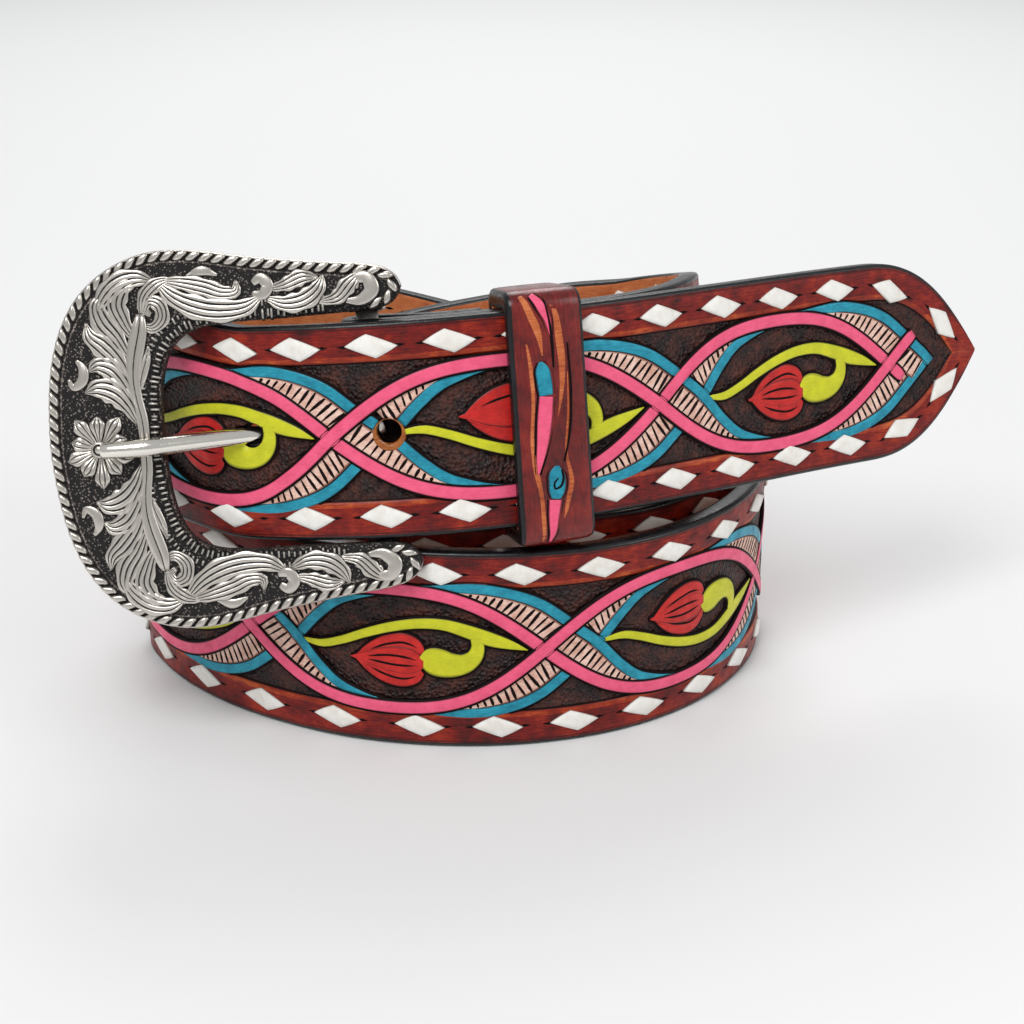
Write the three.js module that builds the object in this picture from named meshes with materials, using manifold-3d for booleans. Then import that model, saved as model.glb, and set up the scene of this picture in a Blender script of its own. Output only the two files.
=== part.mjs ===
// Western tooled belt, coiled three times and buckled. Millimetres, +Z up.
// The coil stands on the bottom edge of its lower turns. The buckle and the belt tip face -Y.
import * as THREE from "three";
import manifoldModule from "manifold-3d";

const wasm = await manifoldModule();
wasm.setup();
const { Manifold, Mesh } = wasm;

// Driving dimensions

const COIL_RADIUS = 60;
const COIL_CENTRE = { x: -15.74, y: 0.964, z: 0 };
const STRAP = {
  width: 38,
  thickness: 3.6,
  edgeRadius: 1.0,
  foldThickness: 2.4,
  skiveLength: 13,
  plyGap: 0.45,
  tipLength: 27.5,
  tipPower: 2.5,
  tipBlunt: 0.992,
  turnbackLength: 21.4,
};
const HOLES = { diameter: 4.6, overrun: 1.2, count: 5, spacing: 25.4, firstFromTip: 102.4, tongueHole: 2 };
const KEEPER = {
  width: 13.4,
  wall: 3.0,
  backWall: 2.2,
  fromTip: 100.0,
  clearance: 0.35,
  corner: 2.6,
  innerCorner: 0.3,
  plyBeyond: 11,
};
const FRAME = {
  reach: 35.3,
  windowClearance: 1.0,
  frontHeight: 2.4,
  backDepth: 1.8,
  proud: 1.7,
  yaw: 20.77,
  roll: -1.21,
  lean: 6.76,
};
const BAR = { diameter: 4, fromHole: 22, clearance: 0.3 };
const LUG = { width: 5.2, height: 0.8, wall: 0.5, gap: 0.1, root: 0.8 };
const TONGUE = {
  radius: 1.6,
  ringWidth: 4.6,
  slotClearance: 0.35,
  tipReach: 25.3,
  bendReach: 17,
  neck: 0.9,
  dive: 6.6,
  lift: 0.4,
  risePower: 1.3,
  restGap: 0.3,
  bendLength: 2.6,
};
const FLOWER = {
  reach: 26.3,
  drop: 0.4,
  petals: 8,
  radius: 5.0,
  height: 0.6,
  notch: 0.22,
  root: 0.4,
  crown: 0.8,
};
const SNAP = {
  shaft: 2.0,
  head: 4.0,
  headHeight: 1.0,
  headGap: 0.5,
  clearance: 0.3,
  sink: 0.1,
  fromBar: [15.4],
};

// Route of the strap's grain face. x and y are shares of the coil's radius, lift is the height of
// the bottom edge in strap widths, lean is how far the top edge tips inward, in degrees.
// A row per station.
const OUTER_END = [
  { x: -0.750, y: -0.572, lift: 1.02, lean: 6.5 },
  { x: -0.653, y: -0.633, lift: 1.018, lean: 7.8 },
  { x: -0.500, y: -0.695, lift: 1.045, lean: 8.8 },
  { x: -0.338, y: -0.735, lift: 1.076, lean: 9.8 },
  { x: -0.173, y: -0.751, lift: 1.1, lean: 10.5 },
  { x: -0.008, y: -0.743, lift: 1.117, lean: 11 },
  { x: 0.156, y: -0.712, lift: 1.127, lean: 11.3 },
  { x: 0.313, y: -0.660, lift: 1.128, lean: 11.3 },
  { x: 0.538, y: -0.550, lift: 1.121, lean: 11.2 },
  { x: 0.680, y: -0.463, lift: 1.112, lean: 11.1 },
  { x: 0.890, y: -0.327, lift: 1.095, lean: 11.1 },
  { x: 1.172, y: -0.148, lift: 1.072, lean: 11.1 },
  { x: 1.457, y: 0.023, lift: 1.046, lean: 11.2 },
  { x: 1.707, y: 0.167, lift: 1.022, lean: 11.2 },
];
const COIL = [
  { x: 0.683, y: -0.325, lift: 1.075, lean: 8 },
  { x: 0.770, y: -0.092, lift: 1.02, lean: 4 },
  { x: 0.770, y: 0.192, lift: 0.9, lean: 2 },
  { x: 0.658, y: 0.450, lift: 0.77, lean: 1 },
  { x: 0.433, y: 0.583, lift: 0.69, lean: 0 },
  { x: 0.133, y: 0.637, lift: 0.6, lean: 0 },
  { x: -0.200, y: 0.605, lift: 0.51, lean: 0 },
  { x: -0.517, y: 0.483, lift: 0.4, lean: 0 },
  { x: -0.767, y: 0.250, lift: 0.26, lean: 0 },
  { x: -0.875, y: -0.033, lift: 0.11, lean: 0 },
  { x: -0.800, y: -0.300, lift: 0.02, lean: 0 },
  { x: -0.583, y: -0.483, lift: 0, lean: 0 },
  { x: -0.267, y: -0.572, lift: 0, lean: 0 },
  { x: 0.067, y: -0.567, lift: 0, lean: 0 },
  { x: 0.367, y: -0.500, lift: 0, lean: 0 },
  { x: 0.610, y: -0.408, lift: 0, lean: 0 },
  { x: 0.827, y: -0.192, lift: 0, lean: 0 },
  { x: 0.910, y: 0.067, lift: 0, lean: 0 },
  { x: 0.858, y: 0.325, lift: 0, lean: 0 },
  { x: 0.683, y: 0.542, lift: 0, lean: 0 },
  { x: 0.400, y: 0.677, lift: 0, lean: 0 },
  { x: 0.067, y: 0.720, lift: 0, lean: 0 },
  { x: -0.300, y: 0.680, lift: 0, lean: 0 },
  { x: -0.617, y: 0.550, lift: 0, lean: 0 },
  { x: -0.858, y: 0.350, lift: 0, lean: 0 },
  { x: -1.008, y: 0.125, lift: 0, lean: 0 },
  { x: -1.047, y: -0.083, lift: 0, lean: 0 },
  { x: -0.965, y: -0.263, lift: 0, lean: 0 },
  { x: -0.808, y: -0.453, lift: 0.0015, lean: 0.5 },
  { x: -0.530, y: -0.650, lift: 0.0042, lean: 1.5 },
  { x: -0.275, y: -0.748, lift: 0.007, lean: 3 },
  { x: -0.028, y: -0.790, lift: 0.006, lean: 2.5 },
  { x: 0.217, y: -0.783, lift: 0.0042, lean: 1.5 },
  { x: 0.527, y: -0.687, lift: 0.0015, lean: 0.5 },
  { x: 0.723, y: -0.553, lift: 0, lean: 0 },
  { x: 0.875, y: -0.375, lift: 0, lean: 0 },
  { x: 0.973, y: -0.175, lift: 0, lean: 0 },
  { x: 1.010, y: 0.050, lift: 0, lean: 0 },
  { x: 0.963, y: 0.292, lift: 0.03, lean: 0 },
  { x: 0.808, y: 0.530, lift: 0.1, lean: 0 },
  { x: 0.550, y: 0.713, lift: 0.2, lean: 0 },
  { x: 0.233, y: 0.810, lift: 0.33, lean: 0 },
  { x: -0.100, y: 0.827, lift: 0.47, lean: 0 },
  { x: -0.433, y: 0.767, lift: 0.62, lean: 0 },
  { x: -0.733, y: 0.617, lift: 0.77, lean: 0.5 },
  { x: -0.958, y: 0.400, lift: 0.93, lean: 1.5 },
  { x: -1.083, y: 0.117, lift: 1.022, lean: 2.5 },
  { x: -1.058, y: -0.158, lift: 1.024, lean: 4 },
  { x: -0.933, y: -0.392, lift: 1.022, lean: 5.5 },
];

// Cast frame, upper half: outer edge and window edge in the frame's own plane, from its middle line
// up. X columns are shares of the frame's reach, Y columns of the window's half height.
// A row per section.
const FRAME_ROWS = [
  { outX: -1.000, outY: 0.000, inX: -0.431, inY: 0.000 },
  { outX: -0.992, outY: 0.270, inX: -0.428, inY: 0.176 },
  { outX: -0.975, outY: 0.539, inX: -0.422, inY: 0.343 },
  { outX: -0.938, outY: 0.833, inX: -0.411, inY: 0.500 },
  { outX: -0.878, outY: 1.093, inX: -0.391, inY: 0.647 },
  { outX: -0.796, outY: 1.304, inX: -0.360, inY: 0.775 },
  { outX: -0.688, outY: 1.471, inX: -0.317, inY: 0.868 },
  { outX: -0.561, outY: 1.588, inX: -0.263, inY: 0.931 },
  { outX: -0.425, outY: 1.652, inX: -0.198, inY: 0.971 },
  { outX: -0.269, outY: 1.657, inX: -0.113, inY: 0.990 },
  { outX: -0.113, outY: 1.618, inX: 0.000, inY: 1.000 },
  { outX: 0.042, outY: 1.564, inX: 0.113, inY: 1.000 },
  { outX: 0.198, outY: 1.520, inX: 0.241, inY: 1.000 },
  { outX: 0.354, outY: 1.480, inX: 0.368, inY: 1.005 },
  { outX: 0.510, outY: 1.446, inX: 0.510, inY: 1.010 },
  { outX: 0.652, outY: 1.412, inX: 0.623, inY: 1.015 },
  { outX: 0.742, outY: 1.363, inX: 0.708, inY: 1.029 },
  { outX: 0.793, outY: 1.284, inX: 0.765, inY: 1.074 },
  { outX: 0.810, outY: 1.206, inX: 0.796, inY: 1.137 },
];

// Round end of the tongue: distance from the tip and size, in shares of its radius. A row per ring.
const TONGUE_END = [
  { short: 1.5, size: 1 },
  { short: 0.6, size: 0.87 },
  { short: 0.15, size: 0.62 },
  { short: 0, size: 0.3 },
];

// Cross-section of the cast frame from its outer edge to the window: share of the width,
// and height as a share of the front height. A row per corner.
const FRAME_PROFILE = [
  { across: 0.0, rise: -0.1 },
  { across: 0.03, rise: 0.75 },
  { across: 0.08, rise: 1.0 },
  { across: 0.14, rise: 0.8 },
  { across: 0.18, rise: 0.55 },
  { across: 0.3, rise: 0.75 },
  { across: 0.55, rise: 0.98 },
  { across: 0.8, rise: 0.8 },
  { across: 0.96, rise: 0.35 },
  { across: 1.0, rise: -0.1 },
];

const COLOURS = {
  strap: { color: 0x7a2320, roughness: 0.45, metalness: 0 },
  keeper: { color: 0x7d2422, roughness: 0.4, metalness: 0 },
  buckle: { color: 0xbab5ac, roughness: 0.32, metalness: 1 },
  tongue: { color: 0xd8d4cc, roughness: 0.2, metalness: 1 },
  snap: { color: 0xb9b4aa, roughness: 0.3, metalness: 1 },
};

// Helpers

const rad = (deg) => (deg * Math.PI) / 180;
const vec = (x, y, z) => new THREE.Vector3(x, y, z);
const smooth = (t) => {
  const c = Math.min(Math.max(t, 0), 1);
  return c * c * (3 - 2 * c);
};

/** Closed solid from vertices and triangles, turned to face outward. */
function solid(points, faces) {
  let volume = 0;
  for (const [a, b, c] of faces) {
    volume += points[a].dot(points[b].clone().cross(points[c]));
  }
  const verts = new Float32Array(points.length * 3);
  points.forEach((p, i) => verts.set([p.x, p.y, p.z], i * 3));
  const tris = new Uint32Array(faces.length * 3);
  faces.forEach((f, i) => tris.set(volume < 0 ? [f[0], f[2], f[1]] : f, i * 3));
  return new Manifold(new Mesh({ numProp: 3, vertProperties: verts, triVerts: tris }));
}

/** Solid swept through rings of equal point count, closed by fans at both ends. */
function loft(rings, closed = false) {
  const points = rings.flat();
  const n = rings[0].length;
  const faces = [];
  const last = closed ? rings.length : rings.length - 1;
  for (let i = 0; i < last; i += 1) {
    const next = (i + 1) % rings.length;
    for (let j = 0; j < n; j += 1) {
      const k = (j + 1) % n;
      faces.push([i * n + j, i * n + k, next * n + k]);
      faces.push([i * n + j, next * n + k, next * n + j]);
    }
  }
  if (!closed) {
    for (const [row, flip] of [[0, true], [rings.length - 1, false]]) {
      const centre = rings[row].reduce((s, p) => s.add(p), vec(0, 0, 0)).divideScalar(n);
      points.push(centre);
      const c = points.length - 1;
      for (let j = 0; j < n; j += 1) {
        const k = (j + 1) % n;
        faces.push(flip ? [c, row * n + k, row * n + j] : [c, row * n + j, row * n + k]);
      }
    }
  }
  return solid(points, faces);
}

/** Cylinder between two points. */
function rod(from, to, radius, sides = 20) {
  const axis = to.clone().sub(from).normalize();
  const side = Math.abs(axis.z) < 0.9 ? vec(0, 0, 1) : vec(1, 0, 0);
  const u = side.clone().cross(axis).normalize();
  const v = axis.clone().cross(u);
  const ring = (centre) => Array.from({ length: sides }, (_, i) => {
    const a = (2 * Math.PI * i) / sides;
    return centre.clone().addScaledVector(u, radius * Math.cos(a)).addScaledVector(v, radius * Math.sin(a));
  });
  return loft([ring(from), ring(to)]);
}

/** Round bar bent through a list of points; radii are given per point. */
function bentRod(centres, radii, sides = 14) {
  const rings = centres.map((c, i) => {
    const a = centres[Math.max(i - 1, 0)];
    const b = centres[Math.min(i + 1, centres.length - 1)];
    const axis = b.clone().sub(a).normalize();
    const u = vec(0, 0, 1).cross(axis).normalize();
    const v = axis.clone().cross(u);
    return Array.from({ length: sides }, (_, k) => {
      const w = (2 * Math.PI * k) / sides;
      return c.clone().addScaledVector(u, radii[i] * Math.cos(w)).addScaledVector(v, radii[i] * Math.sin(w));
    });
  });
  return loft(rings);
}

// Route of the strap

/** Smooth route through stations, read by distance along it. Height and lean never overshoot. */
class Route {
  constructor(rows, steps = 16) {
    const keys = ["x", "y", "z", "lean"];
    const data = rows.map((r) => keys.map((k) => r[k]));
    const gap = (i) => Math.hypot(...[0, 1, 2].map((k) => data[i + 1][k] - data[i][k]));
    const spans = data.slice(1).map((_, i) => gap(i));
    const slope = data.map((_, i) => keys.map((_k, k) => {
      const before = i > 0 ? (data[i][k] - data[i - 1][k]) / spans[i - 1] : null;
      const after = i < spans.length ? (data[i + 1][k] - data[i][k]) / spans[i] : null;
      if (before === null) return after;
      if (after === null) return before;
      if (k > 1 && before * after <= 0) return 0;
      return (after * spans[i - 1] + before * spans[i]) / (spans[i - 1] + spans[i]);
    }));
    this.points = [];
    spans.forEach((h, i) => {
      const count = i === spans.length - 1 ? steps + 1 : steps;
      for (let s = 0; s < count; s += 1) {
        const t = s / steps;
        const leave = [2 * t ** 3 - 3 * t * t + 1, t ** 3 - 2 * t * t + t];
        const reach = [-2 * t ** 3 + 3 * t * t, t ** 3 - t * t];
        this.points.push(keys.map((_k, k) => leave[0] * data[i][k] + leave[1] * h * slope[i][k]
          + reach[0] * data[i + 1][k] + reach[1] * h * slope[i + 1][k]));
      }
    });
    this.run = [0];
    for (let i = 1; i < this.points.length; i += 1) {
      const [a, b] = [this.points[i - 1], this.points[i]];
      this.run.push(this.run[i - 1] + Math.hypot(b[0] - a[0], b[1] - a[1], b[2] - a[2]));
    }
    this.length = this.run[this.run.length - 1];
  }

  /** Values at distance s, carried on straight past either end. */
  read(s) {
    let hi = this.run.findIndex((r) => r >= s);
    if (hi === -1) hi = this.run.length - 1;
    if (hi === 0) hi = 1;
    const t = (s - this.run[hi - 1]) / (this.run[hi] - this.run[hi - 1]);
    return this.points[hi].map((v, k) => this.points[hi - 1][k] + t * (v - this.points[hi - 1][k]));
  }

  /** Point on the grain face with its directions: along, across (up the width), out. */
  at(s) {
    const [x, y, z, lean] = this.read(s);
    const a = this.read(s - 1.5);
    const b = this.read(s + 1.5);
    const along = vec(b[0] - a[0], b[1] - a[1], b[2] - a[2]).normalize();
    const upright = vec(0, 0, 1).addScaledVector(along, -along.z).normalize();
    const level = along.clone().cross(upright);
    const across = upright.multiplyScalar(Math.cos(rad(lean))).addScaledVector(level, -Math.sin(rad(lean)));
    return { at: vec(x, y, z), along, across, out: along.clone().cross(across).normalize() };
  }
}

const half = STRAP.width / 2;
const station = (r) => ({
  x: r.x * COIL_RADIUS,
  y: r.y * COIL_RADIUS,
  z: r.lift * STRAP.width + half * Math.cos(rad(r.lean)),
  lean: r.lean,
});
const endRoute = new Route(OUTER_END.map(station));
const tongueHoleFromTip = HOLES.firstFromTip + HOLES.tongueHole * HOLES.spacing;
const holeRun = endRoute.length - tongueHoleFromTip;
const barRun = holeRun + BAR.fromHole;
const innerPlyDepth = STRAP.thickness + STRAP.plyGap;

/** Station of the inner ply, which lies behind the outer end as far as the keeper. */
function innerPly(run) {
  const f = endRoute.at(run);
  const p = f.at.addScaledVector(f.out, -innerPlyDepth);
  return { x: p.x, y: p.y, z: p.z, lean: endRoute.read(run)[3] };
}

const keeperRun = endRoute.length - KEEPER.fromTip;
const plyEnd = keeperRun + KEEPER.width / 2 + KEEPER.plyBeyond;
const plyCount = 6;
const plyRows = Array.from({ length: plyCount + 1 }, (_, i) => (
  innerPly(barRun + ((plyEnd - barRun) * i) / plyCount)));
const route = new Route([...plyRows, ...COIL.map(station), ...OUTER_END.map(station)]);
const tipRun = route.length;

// Strap

/** Ring of the strap's section: rounded edges, grain face at depth 0, flesh face at -thickness. */
function strapRing(frame, halfWidth, thickness) {
  const share = halfWidth / half;
  const r = Math.min(STRAP.edgeRadius, thickness * 0.45);
  const corner = r * (1 - Math.SQRT1_2);
  const rows = [
    [half - r, 0],
    [half - corner, -corner],
    [half, -r],
    [half, -thickness + r],
    [half - corner, -thickness + corner],
    [half - r, -thickness],
  ];
  const profile = [...rows, ...rows.map(([v, w]) => [-v, w]).reverse()];
  return profile.map(([v, w]) => frame.at.clone()
    .addScaledVector(frame.across, v * share).addScaledVector(frame.out, w));
}

const barRadius = BAR.diameter / 2;
const foldRadius = barRadius + BAR.clearance + STRAP.foldThickness;
const plyThickness = (s) => STRAP.foldThickness
  + (STRAP.thickness - STRAP.foldThickness) * smooth(s / STRAP.skiveLength);
const barFrame = route.at(0);
const barCentre = barFrame.at.clone().addScaledVector(barFrame.out, -foldRadius);

/** Section of the folded-back end, s millimetres from the bar, inside the inner ply. */
function turnbackFrame(s) {
  const f = route.at(s);
  const bulge = 2 * (barRadius + BAR.clearance);
  const gap = STRAP.plyGap + (bulge - STRAP.plyGap) * (1 - smooth(s / STRAP.skiveLength));
  const depth = plyThickness(s) + gap + STRAP.foldThickness;
  return { at: f.at.addScaledVector(f.out, -depth), across: f.across, out: f.out.clone().negate() };
}

/** Distances at which the strap gets a section: close in bends, wide apart on straights. */
function strapStations() {
  const runs = [0];
  const maxTurn = rad(7.5);
  const maxStep = 12;
  let heading = route.at(0).along;
  for (let s = 1; s < tipRun - STRAP.tipLength; s += 0.5) {
    const now = route.at(s).along;
    if (now.angleTo(heading) > maxTurn || s - runs[runs.length - 1] > maxStep) {
      runs.push(s);
      heading = now;
    }
  }
  return runs;
}

function buildStrap() {
  const rings = [];
  const backSteps = 10;
  for (let i = 0; i < backSteps; i += 1) {
    const s = STRAP.turnbackLength * (1 - i / backSteps);
    rings.push(strapRing(turnbackFrame(s), half, STRAP.foldThickness));
  }
  const foldSteps = 9;
  for (let i = 0; i < foldSteps; i += 1) {
    const a = Math.PI * (1 - i / foldSteps);
    const out = barFrame.out.clone().multiplyScalar(Math.cos(a))
      .addScaledVector(barFrame.along, -Math.sin(a));
    const at = barCentre.clone().addScaledVector(out, foldRadius);
    rings.push(strapRing({ at, across: barFrame.across, out }, half, STRAP.foldThickness));
  }
  for (const s of strapStations()) {
    rings.push(strapRing(route.at(s), half, plyThickness(s)));
  }
  const tipSteps = 9;
  for (let i = 0; i <= tipSteps; i += 1) {
    const t = Math.sin((Math.PI / 2) * (i / tipSteps)) * STRAP.tipBlunt;
    const width = half * (1 - t ** STRAP.tipPower);
    rings.push(strapRing(route.at(tipRun - STRAP.tipLength * (1 - t)), width, STRAP.thickness));
  }
  let body = loft(rings);
  for (let i = 0; i < HOLES.count; i += 1) {
    const f = route.at(tipRun - HOLES.firstFromTip - i * HOLES.spacing);
    const from = f.at.clone().addScaledVector(f.out, HOLES.overrun);
    const to = f.at.clone().addScaledVector(f.out, -STRAP.thickness - HOLES.overrun);
    body = body.subtract(rod(from, to, HOLES.diameter / 2, 16));
  }
  for (const s of SNAP.fromBar) {
    const f = route.at(s);
    const from = f.at.clone().addScaledVector(f.out, STRAP.plyGap / 2);
    const depth = f.at.distanceTo(turnbackFrame(s).at);
    const to = f.at.clone().addScaledVector(f.out, -depth - SNAP.headGap / 2);
    body = body.subtract(rod(from, to, SNAP.shaft + SNAP.clearance, 14));
  }
  return body.subtract(buildTongue(TONGUE.slotClearance));
}

// Keeper

/** Rounded rectangle ring in the strap's section plane, from inset values. */
function keeperRing(frame, grow, backGrow, corner, steps) {
  const top = half + KEEPER.clearance + grow;
  const front = KEEPER.clearance + grow;
  const back = -(innerPlyDepth + STRAP.thickness + KEEPER.clearance + backGrow);
  const ring = [];
  const corners = [
    [top, front, 0],
    [-top, front, 1],
    [-top, back, 2],
    [top, back, 3],
  ];
  for (const [v, w, quarter] of corners) {
    const cv = v - Math.sign(v) * corner;
    const cw = w - (w > 0 ? 1 : -1) * corner;
    for (let i = 0; i <= steps; i += 1) {
      const a = (Math.PI / 2) * (quarter + i / steps);
      ring.push(frame.at.clone()
        .addScaledVector(frame.across, cv + corner * Math.cos(a))
        .addScaledVector(frame.out, cw + corner * Math.sin(a)));
    }
  }
  return ring;
}

function buildKeeper() {
  const rings = [[], []];
  const steps = 4;
  for (let i = 0; i <= steps; i += 1) {
    const f = route.at(tipRun - KEEPER.fromTip + KEEPER.width * (i / steps - 0.5));
    rings[0].push(keeperRing(f, KEEPER.wall, KEEPER.backWall, KEEPER.corner, 4));
    rings[1].push(keeperRing(f, 0, 0, KEEPER.innerCorner, 4));
  }
  const outer = rings[0];
  const inner = rings[1];
  const n = outer[0].length;
  const points = [...outer.flat(), ...inner.flat()];
  const shift = outer.length * n;
  const faces = [];
  for (let j = 0; j < n; j += 1) {
    const k = (j + 1) % n;
    for (let i = 0; i < steps; i += 1) {
      const [a, b] = [i * n, (i + 1) * n];
      faces.push([a + j, a + k, b + k], [a + j, b + k, b + j]);
      faces.push([shift + a + k, shift + a + j, shift + b + k]);
      faces.push([shift + a + j, shift + b + j, shift + b + k]);
    }
    const e = steps * n;
    faces.push([j, shift + j, k], [k, shift + j, shift + k]);
    faces.push([e + k, shift + e + j, e + j], [e + k, shift + e + k, shift + e + j]);
  }
  return solid(points, faces);
}

// Buckle

const holeFrame = route.at(tipRun - tongueHoleFromTip);
const heading = Math.atan2(holeFrame.along.y, holeFrame.along.x) + rad(FRAME.yaw);
const climb = Math.asin(holeFrame.along.z) + rad(FRAME.roll);
const tilt = Math.asin(holeFrame.out.z) + rad(FRAME.lean);
const frameAlong = vec(
  Math.cos(climb) * Math.cos(heading),
  Math.cos(climb) * Math.sin(heading),
  Math.sin(climb),
);
const frameUp = vec(0, Math.sin(tilt), Math.cos(tilt));
frameUp.addScaledVector(frameAlong, -frameUp.dot(frameAlong)).normalize();
const frameOut = frameAlong.clone().cross(frameUp);
const frameOrigin = holeFrame.at.clone().addScaledVector(frameOut, FRAME.proud);

/** Point given in the frame's own directions: right, up, out. */
const inFrame = (x, y, z) => frameOrigin.clone()
  .addScaledVector(frameAlong, x).addScaledVector(frameUp, y).addScaledVector(frameOut, z);
const toFrame = (p) => {
  const d = p.clone().sub(frameOrigin);
  return vec(d.dot(frameAlong), d.dot(frameUp), d.dot(frameOut));
};

function buildFrame() {
  const windowHalf = half + FRAME.windowClearance;
  const upper = FRAME_ROWS.map((r) => ({
    outX: r.outX * FRAME.reach,
    outY: r.outY * windowHalf,
    inX: r.inX * FRAME.reach,
    inY: r.inY * windowHalf,
  }));
  const lower = upper.slice(1).map((r) => ({ ...r, outY: -r.outY, inY: -r.inY })).reverse();
  const rings = [...lower, ...upper].map((r) => {
    const ring = FRAME_PROFILE.map((c) => inFrame(
      r.outX + (r.inX - r.outX) * c.across,
      r.outY + (r.inY - r.outY) * c.across,
      c.rise * FRAME.frontHeight,
    ));
    ring.push(inFrame(r.inX, r.inY, -FRAME.backDepth));
    ring.push(inFrame(r.outX, r.outY, -FRAME.backDepth));
    return ring;
  });
  let body = loft(rings);
  const barRise = barFrame.across.dot(frameUp);
  const barEnd = (y) => (
    barCentre.clone().addScaledVector(barFrame.across, (y - toFrame(barCentre).y) / barRise));
  for (const side of [-1, 1]) {
    const end = toFrame(barEnd(side * windowHalf));
    const heights = [windowHalf + LUG.gap, windowHalf + LUG.gap + LUG.height].map((y) => side * y);
    const corners = [[-1, 0], [1, 0], [1, 1], [-1, 1]];
    const level = (z) => corners.map(([x, y]) => inFrame(end.x + (x * LUG.width) / 2, heights[y], z));
    body = body.add(loft([
      level(end.z - barRadius - LUG.wall),
      level(LUG.root - FRAME.backDepth),
    ]));
  }
  const reach = windowHalf + LUG.gap + LUG.height / 2;
  body = body.add(rod(barEnd(-reach), barEnd(reach), barRadius, 18));
  return body.add(buildFlower());
}

function buildFlower() {
  const steps = FLOWER.petals * 6;
  const ring = (height, share) => Array.from({ length: steps }, (_, i) => {
    const a = (2 * Math.PI * i) / steps;
    const petal = Math.abs(Math.cos((FLOWER.petals * a) / 2));
    const r = FLOWER.radius * share * (1 - FLOWER.notch + FLOWER.notch * petal);
    return inFrame(-FLOWER.reach + r * Math.cos(a), -FLOWER.drop + r * Math.sin(a), height);
  });
  const top = FRAME.frontHeight;
  const shoulder = top + FLOWER.height / 2;
  return loft([ring(top * FLOWER.root, 1), ring(shoulder, 1), ring(top + FLOWER.height, FLOWER.crown)]);
}

/** Tongue: a ring round the bar and a rod out through the hole and over the frame. */
function buildTongue(grow = 0) {
  const bar = toFrame(barCentre);
  const front = FRAME.frontHeight + FLOWER.height + TONGUE.radius + TONGUE.restGap;
  const back = bar.z + TONGUE.lift;
  const start = bar.x - barRadius - BAR.clearance - TONGUE.neck;
  const spine = [
    { x: start - grow, z: bar.z, size: 1 },
    { x: (bar.x + TONGUE.dive) / 2, z: (bar.z + back) / 2, size: 1 },
  ];
  const steps = 9;
  for (let i = 0; i <= steps; i += 1) {
    const t = i / steps;
    const x = TONGUE.dive - (TONGUE.dive + TONGUE.bendReach) * t;
    spine.push({ x, z: back + (front - back) * t ** TONGUE.risePower, size: 1 });
  }
  spine.push({ x: -TONGUE.bendReach - TONGUE.bendLength, z: front, size: 1 });
  TONGUE_END.forEach(({ short, size }) => {
    spine.push({ x: -TONGUE.tipReach + short * TONGUE.radius, z: front, size });
  });
  const slope = FLOWER.drop / (TONGUE.tipReach + bar.x);
  const centres = spine.map((row) => inFrame(row.x, (row.x - bar.x) * slope, row.z));
  const radii = spine.map((row) => TONGUE.radius * row.size + grow);
  const ringOuter = foldRadius + grow;
  const shaft = bentRod(centres, radii);
  const reach = TONGUE.ringWidth / 2 + grow;
  const ends = [-1, 1].map((side) => barCentre.clone().addScaledVector(barFrame.across, side * reach));
  const ring = rod(ends[0], ends[1], ringOuter, 28);
  const bore = [-1, 1].map((side) => (
    barCentre.clone().addScaledVector(barFrame.across, side * (reach + barRadius))));
  const whole = shaft.add(ring);
  return grow > 0 ? whole : whole.subtract(rod(bore[0], bore[1], barRadius + BAR.clearance, 28));
}

function buildSnap(s) {
  const f = route.at(s);
  const back = turnbackFrame(s);
  const depth = f.at.distanceTo(back.at);
  const front = f.at.clone().addScaledVector(f.out, -SNAP.sink);
  const end = f.at.clone().addScaledVector(f.out, -depth - SNAP.headGap - SNAP.headHeight / 2);
  const head = f.at.clone().addScaledVector(f.out, -depth - SNAP.headGap);
  const crown = f.at.clone().addScaledVector(f.out, -depth - SNAP.headGap - SNAP.headHeight);
  return rod(front, end, SNAP.shaft, 14).add(rod(head, crown, SNAP.head, 20));
}

// Assembly

function toThree(name, body, look) {
  const mesh = body.getMesh();
  const count = mesh.vertProperties.length / mesh.numProp;
  const position = new Float32Array(count * 3);
  for (let i = 0; i < count; i += 1) {
    for (let k = 0; k < 3; k += 1) {
      position[i * 3 + k] = mesh.vertProperties[i * mesh.numProp + k];
    }
  }
  const geometry = new THREE.BufferGeometry();
  geometry.setAttribute("position", new THREE.BufferAttribute(position, 3));
  geometry.setIndex(Array.from(mesh.triVerts));
  geometry.computeVertexNormals();
  const out = new THREE.Mesh(geometry, new THREE.MeshStandardMaterial(look));
  out.name = name;
  return out;
}

function build() {
  const belt = new THREE.Group();
  belt.name = "western_belt";
  belt.position.set(COIL_CENTRE.x, COIL_CENTRE.y, COIL_CENTRE.z);
  belt.add(toThree("strap", buildStrap(), COLOURS.strap));
  belt.add(toThree("keeper", buildKeeper(), COLOURS.keeper));
  belt.add(toThree("buckle_frame", buildFrame(), COLOURS.buckle));
  belt.add(toThree("buckle_tongue", buildTongue(), COLOURS.tongue));
  SNAP.fromBar.forEach((s, i) => belt.add(toThree(`turnback_rivet_${i + 1}`, buildSnap(s), COLOURS.snap)));
  return belt;
}

export default build();
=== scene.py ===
"""Western tooled belt, coiled and buckled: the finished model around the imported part."""
import logging
import math
from dataclasses import dataclass, field
from enum import Enum
from typing import Callable, NamedTuple, Sequence

import bmesh
import bpy
import numpy as np
from mathutils import Matrix, Vector


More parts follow.
